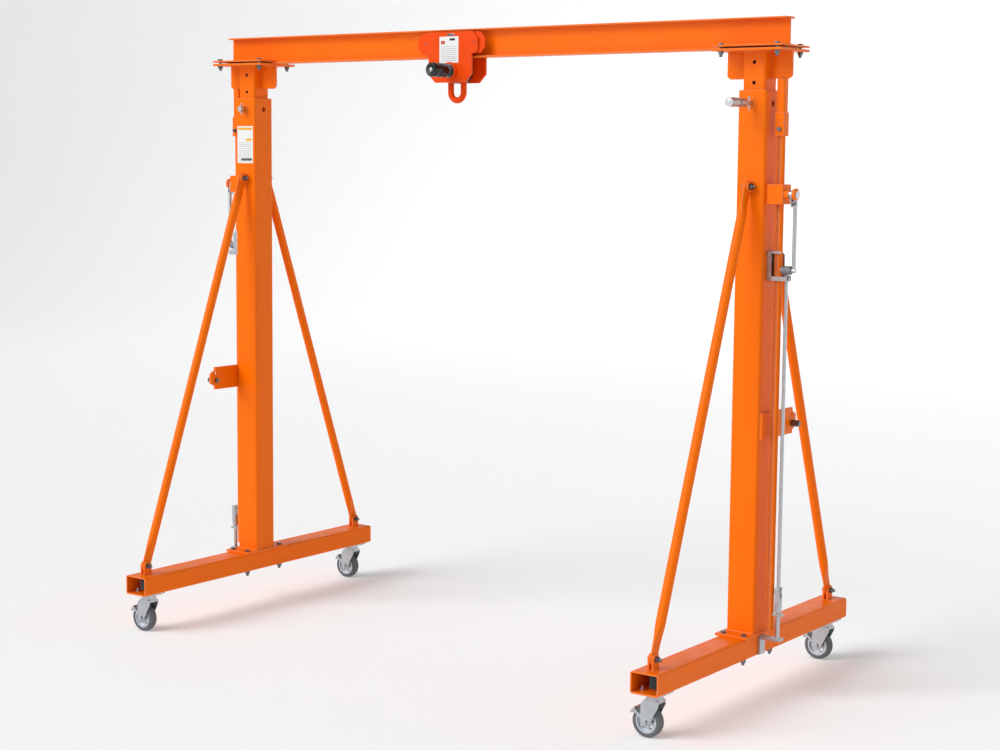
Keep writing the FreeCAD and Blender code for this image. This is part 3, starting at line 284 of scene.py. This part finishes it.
def piece_from(name, points, faces, body, finish, sharp=35):
    """A mesh that rides on a body, with outward faces, smooth except at edges over sharp degrees."""
    mesh = bpy.data.meshes.new(name)
    mesh.from_pydata(np.asarray(points).tolist(), [], faces)
    mesh.validate()
    piece = bpy.data.objects.new(name, mesh)
    bpy.context.scene.collection.objects.link(piece)
    turn_outwards(mesh)
    mesh.polygons.foreach_set("use_smooth", np.ones(len(mesh.polygons), dtype=bool))
    mesh.set_sharp_from_angle(angle=radians(sharp))
    mesh.materials.append(finish)
    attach(piece, body)
    return piece


def turn_outwards(mesh):
    """Point every face of a closed mesh away from its inside."""
    shell = bmesh.new()
    shell.from_mesh(mesh)
    bmesh.ops.recalc_face_normals(shell, faces=shell.faces)
    shell.to_mesh(mesh)
    shell.free()


def turned(radius, along, centre, axis):
    """Points at a distance along the axis and a radius from it, both in mm and either one number for
    a row or one for each of its points: across the axis they go to radius * cos(a), radius * sin(a)."""
    angle = np.linspace(0, 2 * pi, radius.shape[1], endpoint=False)
    first, second = {"x": (1, 2), "y": (2, 0), "z": (0, 1)}[axis]
    grid = np.zeros((*radius.shape, 3))
    grid[..., "xyz".index(axis)] = mm(along)[:, None]
    grid[..., first] = mm(radius) * np.cos(angle)
    grid[..., second] = mm(radius) * np.sin(angle)
    return grid + np.asarray(centre)


def lathe(profile, centre, axis, steps=48):
    """Each (radius, distance) of the profile in mm, carried round an axis through centre."""
    radius, along = np.array(profile, dtype=float).T
    return turned(np.repeat(radius[:, None], steps, axis=1), along, centre, axis)


# %% [markdown]
# ## Braces
# Each brace is one round tube whose ends are pressed flat, so that a bolt can go through. A press
# turns a circle into a long flat shape without changing its outline's length much, so the cross
# section here blends from a thin rounded bar to a circle over 86 mm, and the tip is round.

# %% Pressed tubes
TUBE, FLAT, TIP = 16.0, 3.9, 20.0       # tube radius, half the pressed thickness, half its width
PRESS_START, PRESS_END = 34.0, 120.0    # where the flat ends and the round tube starts, from the bolt
ROWS_TO, TUBE_FROM = 140.0, 180.0       # rows are close together as far as this, then far apart
FLAT_POWER, ROUND_POWER = 4, 2          # of the superellipse at the tip and in the tube


def smooth_step(value, low, high):
    t = np.clip((value - low) / (high - low), 0, 1)
    return t * t * (3 - 2 * t)


def pressed_tube(foot, top):
    """Half thickness a and half width b blend from flat to round with s, the distance from the
    nearer bolt. A point of the section is a*cos(t)^(2/p), b*sin(t)^(2/p), and p goes from 4 to 2."""
    foot, top = np.array(foot), np.array(top)
    length = float(np.linalg.norm(top - foot)) * 1000
    end_part = np.concatenate([-TIP * np.cos(np.linspace(0.02, pi / 2, 10)), np.linspace(4, ROWS_TO, 24)])
    tube_part = np.linspace(TUBE_FROM, length - TUBE_FROM, 8)
    along = np.concatenate([end_part, tube_part, length - end_part[::-1]])
    s = np.minimum(along, length - along)
    blend = smooth_step(s, PRESS_START, PRESS_END)
    half_thick = FLAT + (TUBE - FLAT) * blend
    tip = np.sqrt(np.clip(1 - np.clip(-s / TIP, 0, 1) ** 2, 0.0004, 1))
    half_wide = (TIP + (TUBE - TIP) * blend) * tip
    power = 2 / (FLAT_POWER + (ROUND_POWER - FLAT_POWER) * blend)
    angle = np.linspace(0, 2 * pi, 32, endpoint=False)
    c, q = np.cos(angle), np.sin(angle)
    across = mm(half_thick)[:, None] * np.sign(c) * np.abs(c) ** power[:, None]
    wide = mm(half_wide)[:, None] * np.sign(q) * np.abs(q) ** power[:, None]
    direction = (top - foot) / np.linalg.norm(top - foot)
    side_way = np.cross(direction, [1.0, 0.0, 0.0])
    return (foot + mm(along)[:, None, None] * direction
            + across[..., None] * np.array([1.0, 0.0, 0.0]) + wide[..., None] * side_way)


for side_name, side in SIDES:
    for end_name, end in ENDS:
        node = f"{side_name}_{end_name}_brace"
        low, high = box(node)
        eye = mm(TUBE)
        y_foot, y_top = (low[1], high[1]) if end < 0 else (high[1], low[1])
        foot = (middle(node)[0], y_foot - end * eye, low[2] + eye)
        top = (middle(node)[0], y_top + end * eye, high[2] - eye)
        brace = surface(f"pressed_{node}", pressed_tube(foot, top), "frame", "orange_paint")
        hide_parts(node)
print("pressed the ends of the braces")


# %% [markdown]
# ## Blocks in the tube ends
# A black moulded block hangs inside each end of the base tubes, under the roof of the tube. Moulded
# parts have round edges, so its section is a squared oval that shrinks a little at both faces.

# %% Moulded blocks
BLOCK_WIDE, BLOCK_LONG = mm(34), mm(30)
SQUARENESS = 0.33      # a power of 1 gives an oval, 0 a rectangle
EASE = 2.5             # how far the rounding of the faces reaches, in mm


def moulded_block(low, high, steps=48):
    """Rows run along Y. A point of a row is half_x * c^p, half_z * s^p with the signs of the cosine c
    and the sine s, where p is SQUARENESS, and the rows at the faces are pulled in by EASE."""
    centre, half = (low + high) / 2, (high - low) / 2
    angle = np.linspace(0, 2 * pi, steps, endpoint=False)
    c, q = np.cos(angle), np.sin(angle)
    round_x, round_z = np.sign(c) * np.abs(c) ** SQUARENESS, np.sign(q) * np.abs(q) ** SQUARENESS
    along = np.array([-1, -1 + 0.3 * mm(EASE) / half[1], -1 + mm(EASE) / half[1]])
    along = np.concatenate([along, -along[::-1]])
    pull = mm(EASE * np.array([1, 0.3, 0, 0, 0.3, 1]))[:, None]
    grid = np.zeros((len(along), steps, 3))
    grid[..., 0] = centre[0] + (half[0] - pull) * round_x
    grid[..., 1] = centre[1] + (half[1] * along)[:, None]
    grid[..., 2] = centre[2] + (half[2] - pull) * round_z
    return grid


block_low, block_high = box("end_blocks")
blocks = []
for side_name, side in SIDES:
    for end_name, end in ENDS:
        right = block_high[0] if side > 0 else block_low[0] + BLOCK_WIDE
        far = block_high[1] if end > 0 else block_low[1] + BLOCK_LONG
        low = np.array([right - BLOCK_WIDE, far - BLOCK_LONG, block_low[2]])
        high = np.array([right, far, block_high[2]])
        blocks.append(surface(f"{side_name}_{end_name}_end_block", moulded_block(low, high), "frame",
                              "black_plastic", sharp=50))
for piece in blocks:
    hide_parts("end_blocks")
print("moulded", len(blocks), "end blocks")


# %% [markdown]
# ## Knurled grips
# Crank grips and the handle of the long lock pin are knurled, so that a gloved hand holds them. A
# knurl is two crossed sets of grooves at an angle: where both are low there is a diamond's corner.
# Its real pitch is about 1.5 mm, and it is drawn at 3.5 mm to show.

# %% Knurling
KNURLS, KNURL_PITCH, KNURL_DEPTH = 26, 3.5, 0.9    # number round the grip, and mm
ROW_STEP = 0.5                                     # mm between rows
ROUND_END, FULL_DEPTH = 2.0, 3.5                   # mm from the end: rounding, and first full knurl


def knurled(radius, start, end, centre, axis, steps=208):
    """radius - depth * (1 + cos(n*a + k*x) * cos(n*a - k*x)) / 2, where a is the angle, x the distance
    along the grip, n half the number of knurls and k = pi / pitch, with ends that round over 2 mm."""
    x = np.linspace(start, end, int((end - start) / ROW_STEP))
    a = np.linspace(0, 2 * pi, steps, endpoint=False)
    n, k = KNURLS / 2, pi / KNURL_PITCH
    wave = np.cos(n * a + k * x[:, None]) * np.cos(n * a - k * x[:, None])
    from_end = np.minimum(x - start, end - x)
    fade = smooth_step(from_end, ROUND_END, FULL_DEPTH)[:, None]
    inside = np.clip(ROUND_END - from_end, 0, ROUND_END)
    round_off = ROUND_END - np.sqrt(np.clip(ROUND_END**2 - inside**2, 0, ROUND_END**2))
    cut = KNURL_DEPTH * (fade * (1 + wave) + (1 - fade)) / 2
    return turned(radius - cut - round_off[:, None], x, centre, axis)


for side_name, side in SIDES:
    node = f"{side_name}_crank_grip"
    low, high = box(node)
    long, _, thick = (high - low) * 1000
    grip = surface(f"knurled_{node}", knurled(thick / 2, -long / 2, long / 2, middle(node), "x"),
                   f"{side_name}_grip", "grey_grip", sharp=60)
    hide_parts(node)

pin_tip = middle("right_lock_pin")
pin_tip[1] = box("right_lock_pin")[0][1]
pin_radius, handle_from, handle_to = 14.9, 3, 53    # mm, from the outer end
surface("knurled_pin_handle", knurled(pin_radius, handle_from, handle_to, pin_tip, "y"), "right_pin",
        "zinc", sharp=60)
dimple = [(9, 0.2), (8, -0.2), (5, -0.3), (0.5, -0.3)]
surface("pin_handle_dimple", lathe(dimple, pin_tip, "y"), "right_pin", "zinc")
print("knurled the grips and the pin")


# %% [markdown]
# ## Crank hubs
# The crank is held by a painted disc, and a zinc strap goes from its hub to the round bar. Both are
# turned or stamped shapes: the disc is a profile carried round the shaft, the strap a long rounded
# outline with some thickness.

# %% Discs and straps
GRIP_DROP = 241                      # mm from the crank shaft down to the grip
DISC = [(0.5, -1.0), (9, -1.0), (12, -1.4), (17, -1.4), (19.5, -3.5), (19.5, -11), (17.5, -13.5),
        (8, -13.5)]                  # radius and distance in from the end of the shaft, in mm
PIVOT = [(3, -8), (8, -8), (9, -6.5), (9, 6.5), (8, 8), (3, 8)]
STRAP_LONG, STRAP_HALF_WIDE, STRAP_THICK = 27, 13.5, 5
STRAP_TURN = 0.12                    # the strap leans this far with the bar, in radians
STRAP_IN, PIVOT_IN = 19, 11          # mm in from the end of the shaft


def strap(length, half_wide, thick, centre, turn=0.0, steps=14):
    """A flat bar with round ends in the YZ plane: two half circles of radius half_wide, length apart
    along -Z, turned about X, with edges eased over a fifth of the thickness."""
    top = np.linspace(0, pi, steps)
    bottom = np.linspace(pi, 2 * pi, steps)
    y = half_wide * np.cos(np.concatenate([top, bottom]))
    z = half_wide * np.sin(np.concatenate([top, bottom])) - length * np.repeat([0, 1], steps)
    rows = np.array([(-0.5, 0.94), (-0.3, 1.0), (0.3, 1.0), (0.5, 0.94)])    # place, width
    grid = np.zeros((len(rows), len(y), 3))
    grid[..., 0] = rows[:, :1] * thick
    grid[..., 1] = rows[:, 1:] * (y * cos(turn) - z * sin(turn))
    grid[..., 2] = rows[:, 1:] * (y * sin(turn) + z * cos(turn))
    return mm(grid) + np.asarray(centre)


for side_name, side in SIDES:
    crank = f"{side_name}_crank"
    grip = middle(f"{side_name}_crank_grip")
    shaft = np.array([side * np.abs([corner[0] for corner in box(crank)]).max(), grip[1],
                      grip[2] + mm(GRIP_DROP)])
    surface(f"{crank}_disc", lathe([(r, side * x) for r, x in DISC], shaft, "x", 64), crank,
            "orange_paint")
    surface(f"{crank}_strap",
            strap(STRAP_LONG, STRAP_HALF_WIDE, STRAP_THICK, shaft - [side * mm(STRAP_IN), 0, 0],
                  side * STRAP_TURN), crank, "zinc")
    surface(f"{crank}_pivot",
            lathe(PIVOT, shaft - [side * mm(PIVOT_IN), 0, mm(STRAP_LONG)], "x", 32), crank,
            "dark_steel")
print("crank hubs")


# %% [markdown]
# ## Racks
# The pinions climb the jack rods on a rack cut into one side. Its teeth are cut at a pitch of
# 3.1 mm, which shows as fine ribs in the groove, and they are painted with the rod. The profile is
# a cosine wave.

# %% Rack teeth
RACK_PITCH, RACK_HALF_WIDE, TOOTH_HEIGHT = 3.14, 4.9, 1.4
GROOVE_DEPTH = 3.5                    # of the groove the rack lies in
RACK_FROM, RACK_TO = 2, 1600          # mm up from the foot of the rod
TOOTH_ROOT, RACK_BACK = 0.1, 0.6      # mm in front of the groove's floor and behind it


def rack(centre_x, face_y, low, high, outward):
    """Two columns of points, half the width either side of the groove. Each row stands out from the
    face by height * (1 + cos(2 pi z / pitch)) / 2, and a third and fourth column close its back."""
    z = np.arange(low * 1000, high * 1000, RACK_PITCH / 4)
    tooth = TOOTH_HEIGHT * (1 + np.cos(2 * pi * z / RACK_PITCH)) / 2
    grid = np.zeros((len(z), 4, 3))
    grid[:, (0, 3), 0] = centre_x - mm(RACK_HALF_WIDE)
    grid[:, (1, 2), 0] = centre_x + mm(RACK_HALF_WIDE)
    grid[:, :2, 1] = face_y + outward * mm(tooth + TOOTH_ROOT)[:, None]
    grid[:, 2:, 1] = face_y - outward * mm(RACK_BACK)
    grid[..., 2] = mm(z)[:, None]
    return grid


for side_name, side in SIDES:
    low, high = box(f"{side_name}_jack_rod")
    outward = -side
    face = (low[1] if outward < 0 else high[1]) - outward * mm(GROOVE_DEPTH)
    teeth = rack((low[0] + high[0]) / 2, face, low[2] + mm(RACK_FROM), low[2] + mm(RACK_TO), outward)
    surface(f"{side_name}_rack", teeth, "upper", "orange_paint", sharp=20)
print("racks")


# %% [markdown]
# ## Tyres
# The tyre is moulded on its rim: a broad tread, round shoulders and two fine ribs on each wall. Its
# section is a squared-off ellipse with small waves added on the walls.

# %% Tyres
TYRE_DEEP = 13                           # mm from the rim to the tread
TREAD_POWER, WALL_POWER = 0.45, 0.5      # the smaller, the squarer the shoulder
RIB_HEIGHT, RIB_PITCH = 0.5, 3.2


def tyre_section(rim, outer, half_wide, points=56):
    """y = half_wide * cos(t)^WALL_POWER and r = rim + (outer - rim) * sin(t)^TREAD_POWER with their
    signs, for t from 0 to pi, less the ribs where the wall is upright."""
    t = np.linspace(0.0, pi, points)
    c, q = np.cos(t), np.sin(t)
    r = rim + (outer - rim) * np.abs(q) ** TREAD_POWER
    y = half_wide * np.sign(c) * np.abs(c) ** WALL_POWER
    wall = smooth_step(np.abs(c), 0.55, 0.9)
    y = y - np.sign(c) * wall * RIB_HEIGHT * (1 + np.cos(2 * pi * (r - rim) / RIB_PITCH)) / 2
    return list(zip(r, y))


for side_name, side in SIDES:
    for end_name, end in ENDS:
        node = f"{side_name}_{end_name}_caster_tyre"
        low, high = box(node)
        _, half_wide, radius = (high - low) * 1000 / 2
        section = tyre_section(radius - TYRE_DEEP, radius, half_wide)
        tyre = surface(f"moulded_{node}", lathe(section, middle(node), "y", 96),
                       f"{side_name}_{end_name}_wheel", "tyre_rubber", round_rows=True)
        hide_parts(node)
print("tyres")


# %% [markdown]
# ## Trolley fittings
# The stop roller on the front of the trolley is turned from black plastic in two halves with a neck
# between them, and a screw with a washer holds it. Rivets hold the guards, and over the rating plate
# a thin dark plate is painted shade for the hollow of a short punched slot.

# %% Stop roller, screw, rivets and slot
# Profiles are radius and distance in mm. The roller's runs in from its front face.
ROLLER = [(1, 1.2), (15, 1.2), (17, 0.4), (21, 0.4), (24, 2.5), (25, 5), (25, 31), (23, 33.5),
          (20.5, 34.5), (20.5, 38), (23, 39), (25, 41.5), (25, 74), (22, 77), (11, 77.2)]
WASHER = [(2, 1.0), (6.4, 0.9), (7, 0.6), (7, 0.2), (6.4, 0.05), (2, 0.05)]
NECK_RING = [(20.2, 34.2), (20.9, 34.6), (20.9, 37.9), (20.2, 38.3)]
COLLAR = [(26.4, -0.4), (30.4, 2.8), (30.6, 4), (30.6, 7.9), (24, 7.9), (24, -0.4)]
COLLAR_OUT = 8                   # mm in front of the plate
SCREW = [(4.6, 0.6), (4.6, -1.4), (3.8, -2.2), (2.2, -2.5), (2.0, -1.4), (0.3, -1.4)]
RIVET = [(0.3, -1.8), (1.6, -1.6), (2.8, -0.9), (3.3, 0.0), (3.3, 0.4)]
RIVET_OUT, RIVET_DOWN = 106, 38  # mm from the middle of the plate and from its top

plate_low, plate_high = box("trolley_front_plate")
plate_x, plate_y, plate_top = (plate_low[0] + plate_high[0]) / 2, plate_low[1], plate_high[2]
knob_axis = middle("trolley_knob")
knob_axis[1] = box("trolley_knob")[0][1]
stop = surface("turned_stop_roller", lathe(ROLLER, knob_axis, "y", 96), "spindle", "black_plastic")
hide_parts("trolley_knob")
surface("stop_roller_washer", lathe(WASHER, knob_axis, "y"), "spindle", "zinc")
surface("stop_roller_ring", lathe(NECK_RING, knob_axis, "y", 72), "spindle", "zinc")
surface("painted_collar",
        lathe(COLLAR, (knob_axis[0], plate_y - mm(COLLAR_OUT), knob_axis[2]), "y", 72),
        "trolley", "red_orange_paint", round_rows=True)
surface("stop_roller_screw", lathe(SCREW, knob_axis, "y", 36), "spindle", "zinc")
for side_name, side in SIDES:
    rivet_at = (plate_x + side * mm(RIVET_OUT), plate_y, plate_top - mm(RIVET_DOWN))
    surface(f"trolley_rivet_{side_name}", lathe(RIVET, rivet_at, "y", 24), "trolley", "dark_steel")


def rounded_plate(wide, high, thick, corner, centre, steps=6):
    """A plate in the XZ plane with round corners: four quarter circles joined by straight edges,
    with rows at its front and back, the front one eased in by 0.15 mm."""
    turn = np.linspace(0, pi / 2, steps)
    x = np.concatenate([sx * (wide / 2 - corner) + corner * np.cos(turn + k * pi / 2)
                        for k, sx in enumerate((1, -1, -1, 1))])
    z = np.concatenate([sz * (high / 2 - corner) + corner * np.sin(turn + k * pi / 2)
                        for k, sz in enumerate((1, 1, -1, -1))])
    grid = np.zeros((3, len(x), 3))
    grid[..., 0] = x * np.array([[1 - 0.3 / wide], [1], [1]])
    grid[..., 2] = z * np.array([[1 - 0.3 / high], [1], [1]])
    grid[..., 1] = np.array([[-thick], [-0.6 * thick], [0.0]])
    return mm(grid) + np.asarray(centre)


# Painted shade: a thin dark plate on the face stands for the shaded hollow of the punched slot.
slot_at = (plate_x + mm(4), plate_y, plate_top - mm(11))
surface("trolley_slot_painted_shade", rounded_plate(34, 8, 0.3, 3.5, slot_at), "trolley", "dark_steel")
print("trolley fittings")


# %% [markdown]
# ## Labels
# The crane carries a printed rating plate on the trolley and a notice on the left column. Here they
# are blanks: pale vinyl with coloured bars and rows of short grey strokes where words would be. The
# print is a colour attribute worked out on a 1 mm grid.

# %% Printed vinyl
label_vinyl, label_tree, label_shader = noisy_finish(
    "printed_vinyl_label", {"relief": (8, 2.0, 0.5)}, relief=(0.05, 0.2, 0.4),
    Metallic=0.0, IOR=1.46, Roughness=0.35)
printed = add_node(label_tree, "ShaderNodeAttribute", attribute_name="print")
label_tree.links.new(printed.outputs["Color"], label_shader.inputs["Base Color"])


PROUD = 0.3                                     # mm in front of the plate
STROKE_HIGH, ROW_PITCH, MARGIN = 2, 7, (6, 8)   # mm


def label(name, wide, high, centre, body, blocks, rows_from):
    """A sheet of points 1 mm apart. A point is part of a stroke where it is in the first 2 mm of every
    7, and a wave along the row is not too low. Each block is a plain rectangle: left, right, top
    and bottom as shares of the label, and its colour."""
    u, v = np.meshgrid(np.arange(0, wide + 1.0), np.arange(0, high + 1.0))
    points = np.stack([u - wide / 2, np.full_like(u, -PROUD), v - high / 2], axis=-1)
    index = np.arange(u.size).reshape(u.shape)
    faces = np.stack([index[:-1, :-1], index[:-1, 1:], index[1:, 1:], index[1:, :-1]], axis=-1)
    piece = piece_from(name, mm(points.reshape(-1, 3)) + np.asarray(centre),
                       faces.reshape(-1, 4).tolist(), body, label_vinyl)
    from_top = high - v
    colour = np.tile(np.array(linear("#E2E3E1")), (*u.shape, 1))
    stroke = (from_top % ROW_PITCH < STROKE_HIGH) & (from_top > rows_from) & (from_top < high - 5)
    stroke &= (u > MARGIN[0]) & (u < wide - MARGIN[1])
    stroke &= np.sin(u * 0.55 + 1.7 * (from_top // ROW_PITCH)) > -0.45
    colour[stroke] = linear("#8D8F94")
    for left, right, top, bottom, paint in blocks:
        inside = (u > left * wide) & (u < right * wide)
        inside &= (from_top > top * high) & (from_top < bottom * high)
        colour[inside] = linear(paint)
    layer = piece.data.color_attributes.new("print", "FLOAT_COLOR", "POINT")
    layer.data.foreach_set("color", colour.reshape(-1).astype(np.float32))
    return piece


label("trolley_rating_label", 84, 92, (plate_x - mm(4), plate_y, plate_top - mm(63)), "trolley",
      ((0.08, 0.29, 0.16, 0.29, "#C8401E"), (0.53, 0.82, 0.07, 0.16, "#1B1B1D")), 34)
COLUMN_HALF_WIDE, NOTICE_HEIGHT = mm(50), 1.8065
notice_at = (middle("left_base_tube")[0], -COLUMN_HALF_WIDE, NOTICE_HEIGHT)
label("column_notice_label", 80, 141, notice_at, "frame",
      ((0.05, 0.95, 0.04, 0.10, "#EFA21E"), (0.55, 0.93, 0.33, 0.40, "#EFB036"),
       (0.24, 0.93, 0.87, 0.93, "#4A4C50")), 58)
print("labels")


# %% [markdown]
# ## Weld beads
# The tubes, plates and lugs are welded, and the bead shows as a ripple in the corner. A bead is a
# half-buried round bar carried along a path, swelling a little every 3 mm where each drop froze.

# %% Welds
BEAD_RADIUS, LUG_BEAD_RADIUS = 2.6, 2.0    # mm
BEAD_STEP, RIPPLE, SWELL = 1.2, 3.2, 0.12  # mm between rows, mm between drops, share of the radius


def bead(name, corners, body, radius=BEAD_RADIUS):
    """The path is the straight runs between corners and back to the first, cut into steps. At distance
    d along it the bar's radius is radius * (1 + SWELL * cos(2 pi d / RIPPLE)), and its section is a
    circle of eight points."""
    ends = np.array(corners + corners[:1], dtype=float)
    path = np.concatenate([
        np.linspace(start, stop, max(2, int(np.linalg.norm(stop - start) / BEAD_STEP)), endpoint=False)
        for start, stop in zip(ends[:-1], ends[1:])])
    ahead = np.roll(path, -1, axis=0) - np.roll(path, 1, axis=0)
    ahead /= np.linalg.norm(ahead, axis=1)[:, None]
    plane = np.cross(ends[1] - ends[0], ends[2] - ends[1])
    plane = plane / np.linalg.norm(plane)
    across = np.cross(ahead, plane)
    distance = np.arange(len(path)) * BEAD_STEP
    size = radius * (1 + SWELL * np.cos(2 * pi * distance / RIPPLE))
    angle = np.linspace(0, 2 * pi, 8, endpoint=False)
    section = (np.cos(angle)[None, :, None] * across[:, None]
               + np.sin(angle)[None, :, None] * plane)
    grid = path[:, None] + size[:, None, None] * section
    return surface(name, mm(grid), body, "orange_paint", round_rows=True, sharp=70)


def rectangle(x, y, half_x, half_y, z):
    """Four corners of a level rectangle, in mm."""
    return [(x - half_x, y - half_y, z), (x + half_x, y - half_y, z), (x + half_x, y + half_y, z),
            (x - half_x, y + half_y, z)]


LEG_X, LUG_Y = 1095.0, 597.0                 # mm from the middle of the crane
COLUMN_HALF, UPPER_HALF, PLATE = 50, 40, 8   # half the tubes' widths and the plates' thickness
LUG_OUT, LUG_HALF_X, LUG_HALF_Y = 7.3, 3, 18

base_top = box("left_lower_column")[0][2] * 1000
beam_foot = box("beam")[0][2] * 1000
for side_name, side in SIDES:
    x = side * LEG_X
    bead(f"{side_name}_foot_weld", rectangle(x, 0, COLUMN_HALF, COLUMN_HALF, base_top + PLATE), "frame")
    bead(f"{side_name}_cap_weld", rectangle(x, 0, UPPER_HALF, UPPER_HALF, beam_foot - PLATE), "upper")
    for end_name, end in ENDS:
        for ear_name, ear in (("inner", -1), ("outer", 1)):
            lug = rectangle(x + ear * LUG_OUT, end * LUG_Y, LUG_HALF_X, LUG_HALF_Y, base_top)
            bead(f"{side_name}_{end_name}_{ear_name}_lug_weld", lug, "frame", LUG_BEAD_RADIUS)
print("welds")


# %% [markdown]
# ## Floor
# A pale paper floor rises all round into a wall, so that every side has the same backdrop. It glows
# a little, as lit studio paper does, so that it stays near white without a stronger key light.

# %% Studio floor
FLAT_TO, BEND_RADIUS, WALL_TOP = 12.0, 3.0, 7.0    # metres
AROUND = 96                                        # points round the floor
paper = noisy_finish(
    "matt_studio_paper", {"colour": (900, 3.0, 0.5), "gloss": (20, 3.0, 0.5)},
    ("#F4F4F4", "#F2F2F2"), (0.8, 0.92), Metallic=0.0, IOR=1.4,
    **{"Emission Color": linear("#FFFFFF"), "Emission Strength": 0.14})[0]


def studio_floor():
    """A profile carried round Z: flat to FLAT_TO, a quarter circle of BEND_RADIUS, then straight up to
    WALL_TOP."""
    bend = np.linspace(0, pi / 2, 14)[1:]
    radius = np.concatenate([[0.001], np.linspace(1, FLAT_TO, 12), FLAT_TO + BEND_RADIUS * np.sin(bend),
                             [FLAT_TO + BEND_RADIUS]])
    height = np.concatenate([np.zeros(13), BEND_RADIUS * (1 - np.cos(bend)), [WALL_TOP]])
    angle = np.linspace(0, 2 * pi, AROUND, endpoint=False)
    grid = np.stack([radius[:, None] * np.cos(angle), radius[:, None] * np.sin(angle),
                     np.repeat(height[:, None], AROUND, axis=1)], axis=-1)
    index = np.arange(grid[..., 0].size).reshape(grid.shape[:2])
    beside = np.roll(index, -1, axis=1)
    faces = np.stack([index[:-1], index[1:], beside[1:], beside[:-1]], axis=-1).reshape(-1, 4).tolist()
    mesh = bpy.data.meshes.new("studio_floor")
    mesh.from_pydata(grid.reshape(-1, 3).tolist(), [], faces + [index[0].tolist()])
    mesh.polygons.foreach_set("use_smooth", np.ones(len(mesh.polygons), dtype=bool))
    floor = bpy.data.objects.new("studio_floor", mesh)
    bpy.context.scene.collection.objects.link(floor)
    mesh.materials.append(paper)


studio_floor()
print("studio floor")


# %% [markdown]
# ## Lights
# The key light is broad and soft and comes from the front left. A strip beside it draws highlights
# on the metal, and a narrow light on the right catches the edges there.

# %% Lights
def add_light(name, kind, at, aim, energy, **settings):
    """A light at a point, turned towards aim. settings are its own properties, such as its size."""
    data = bpy.data.lights.new(name, kind)
    data.energy = energy
    for key, value in settings.items():
        setattr(data, key, value)
    light = bpy.data.objects.new(name, data)
    light.location = at
    light.rotation_euler = (Vector(aim) - Vector(at)).to_track_quat("-Z", "Y").to_euler()
    bpy.context.scene.collection.objects.link(light)


add_light("key", "SUN", (-2.6, -5.2, 5.9), (0, 0, 1.0), 2.1, angle=radians(40))
add_light("strip", "AREA", (-3.5, -6.5, 3.0), (0, 0, 1.2), 60, size=2.5)
add_light("edge", "AREA", (9.0, -2.5, 1.6), (1.0, 0, 1.2), 8, shape="RECTANGLE", size=0.5, size_y=4.0)
bpy.context.scene.view_settings.view_transform = "Standard"
world = bpy.data.worlds.new("studio")
world.use_nodes = True
sky = world.node_tree.nodes["Background"]
sky.inputs["Color"].default_value = linear("#F4F5F7")
sky.inputs["Strength"].default_value = 0.35
bpy.context.scene.world = world
print("lights", [light.name for light in bpy.data.lights])


# %% [markdown]
# ## Camera
# The lens is long, and it looks slightly down from the eye height of a tall person standing in
# front of the right leg.

# %% Camera
def standing_camera(at, yaw, pitch, roll, lens):
    """forward = (-sin yaw cos pitch, cos yaw cos pitch, -sin pitch), right is level, and both up and
    right then turn by roll about forward."""
    forward = np.array([-sin(yaw) * cos(pitch), cos(yaw) * cos(pitch), -sin(pitch)])
    level = np.array([cos(yaw), sin(yaw), 0.0])
    upright = np.cross(level, forward)
    right = level * cos(roll) + upright * sin(roll)
    up = upright * cos(roll) - level * sin(roll)
    data = bpy.data.cameras.new("camera")
    data.lens = lens
    data.sensor_width = 36.0
    data.clip_end = 60.0
    camera = bpy.data.objects.new("camera", data)
    matrix = np.eye(4)
    matrix[:3, :3] = np.column_stack([right, up, -forward])
    matrix[:3, 3] = at
    camera.matrix_world = Matrix(matrix.tolist())
    bpy.context.scene.collection.objects.link(camera)
    bpy.context.scene.camera = camera


standing_camera((4.0067, -5.4849, 1.7537), yaw=0.6208, pitch=0.112, roll=0.0087, lens=68.6)
print("camera", bpy.context.scene.camera.name)
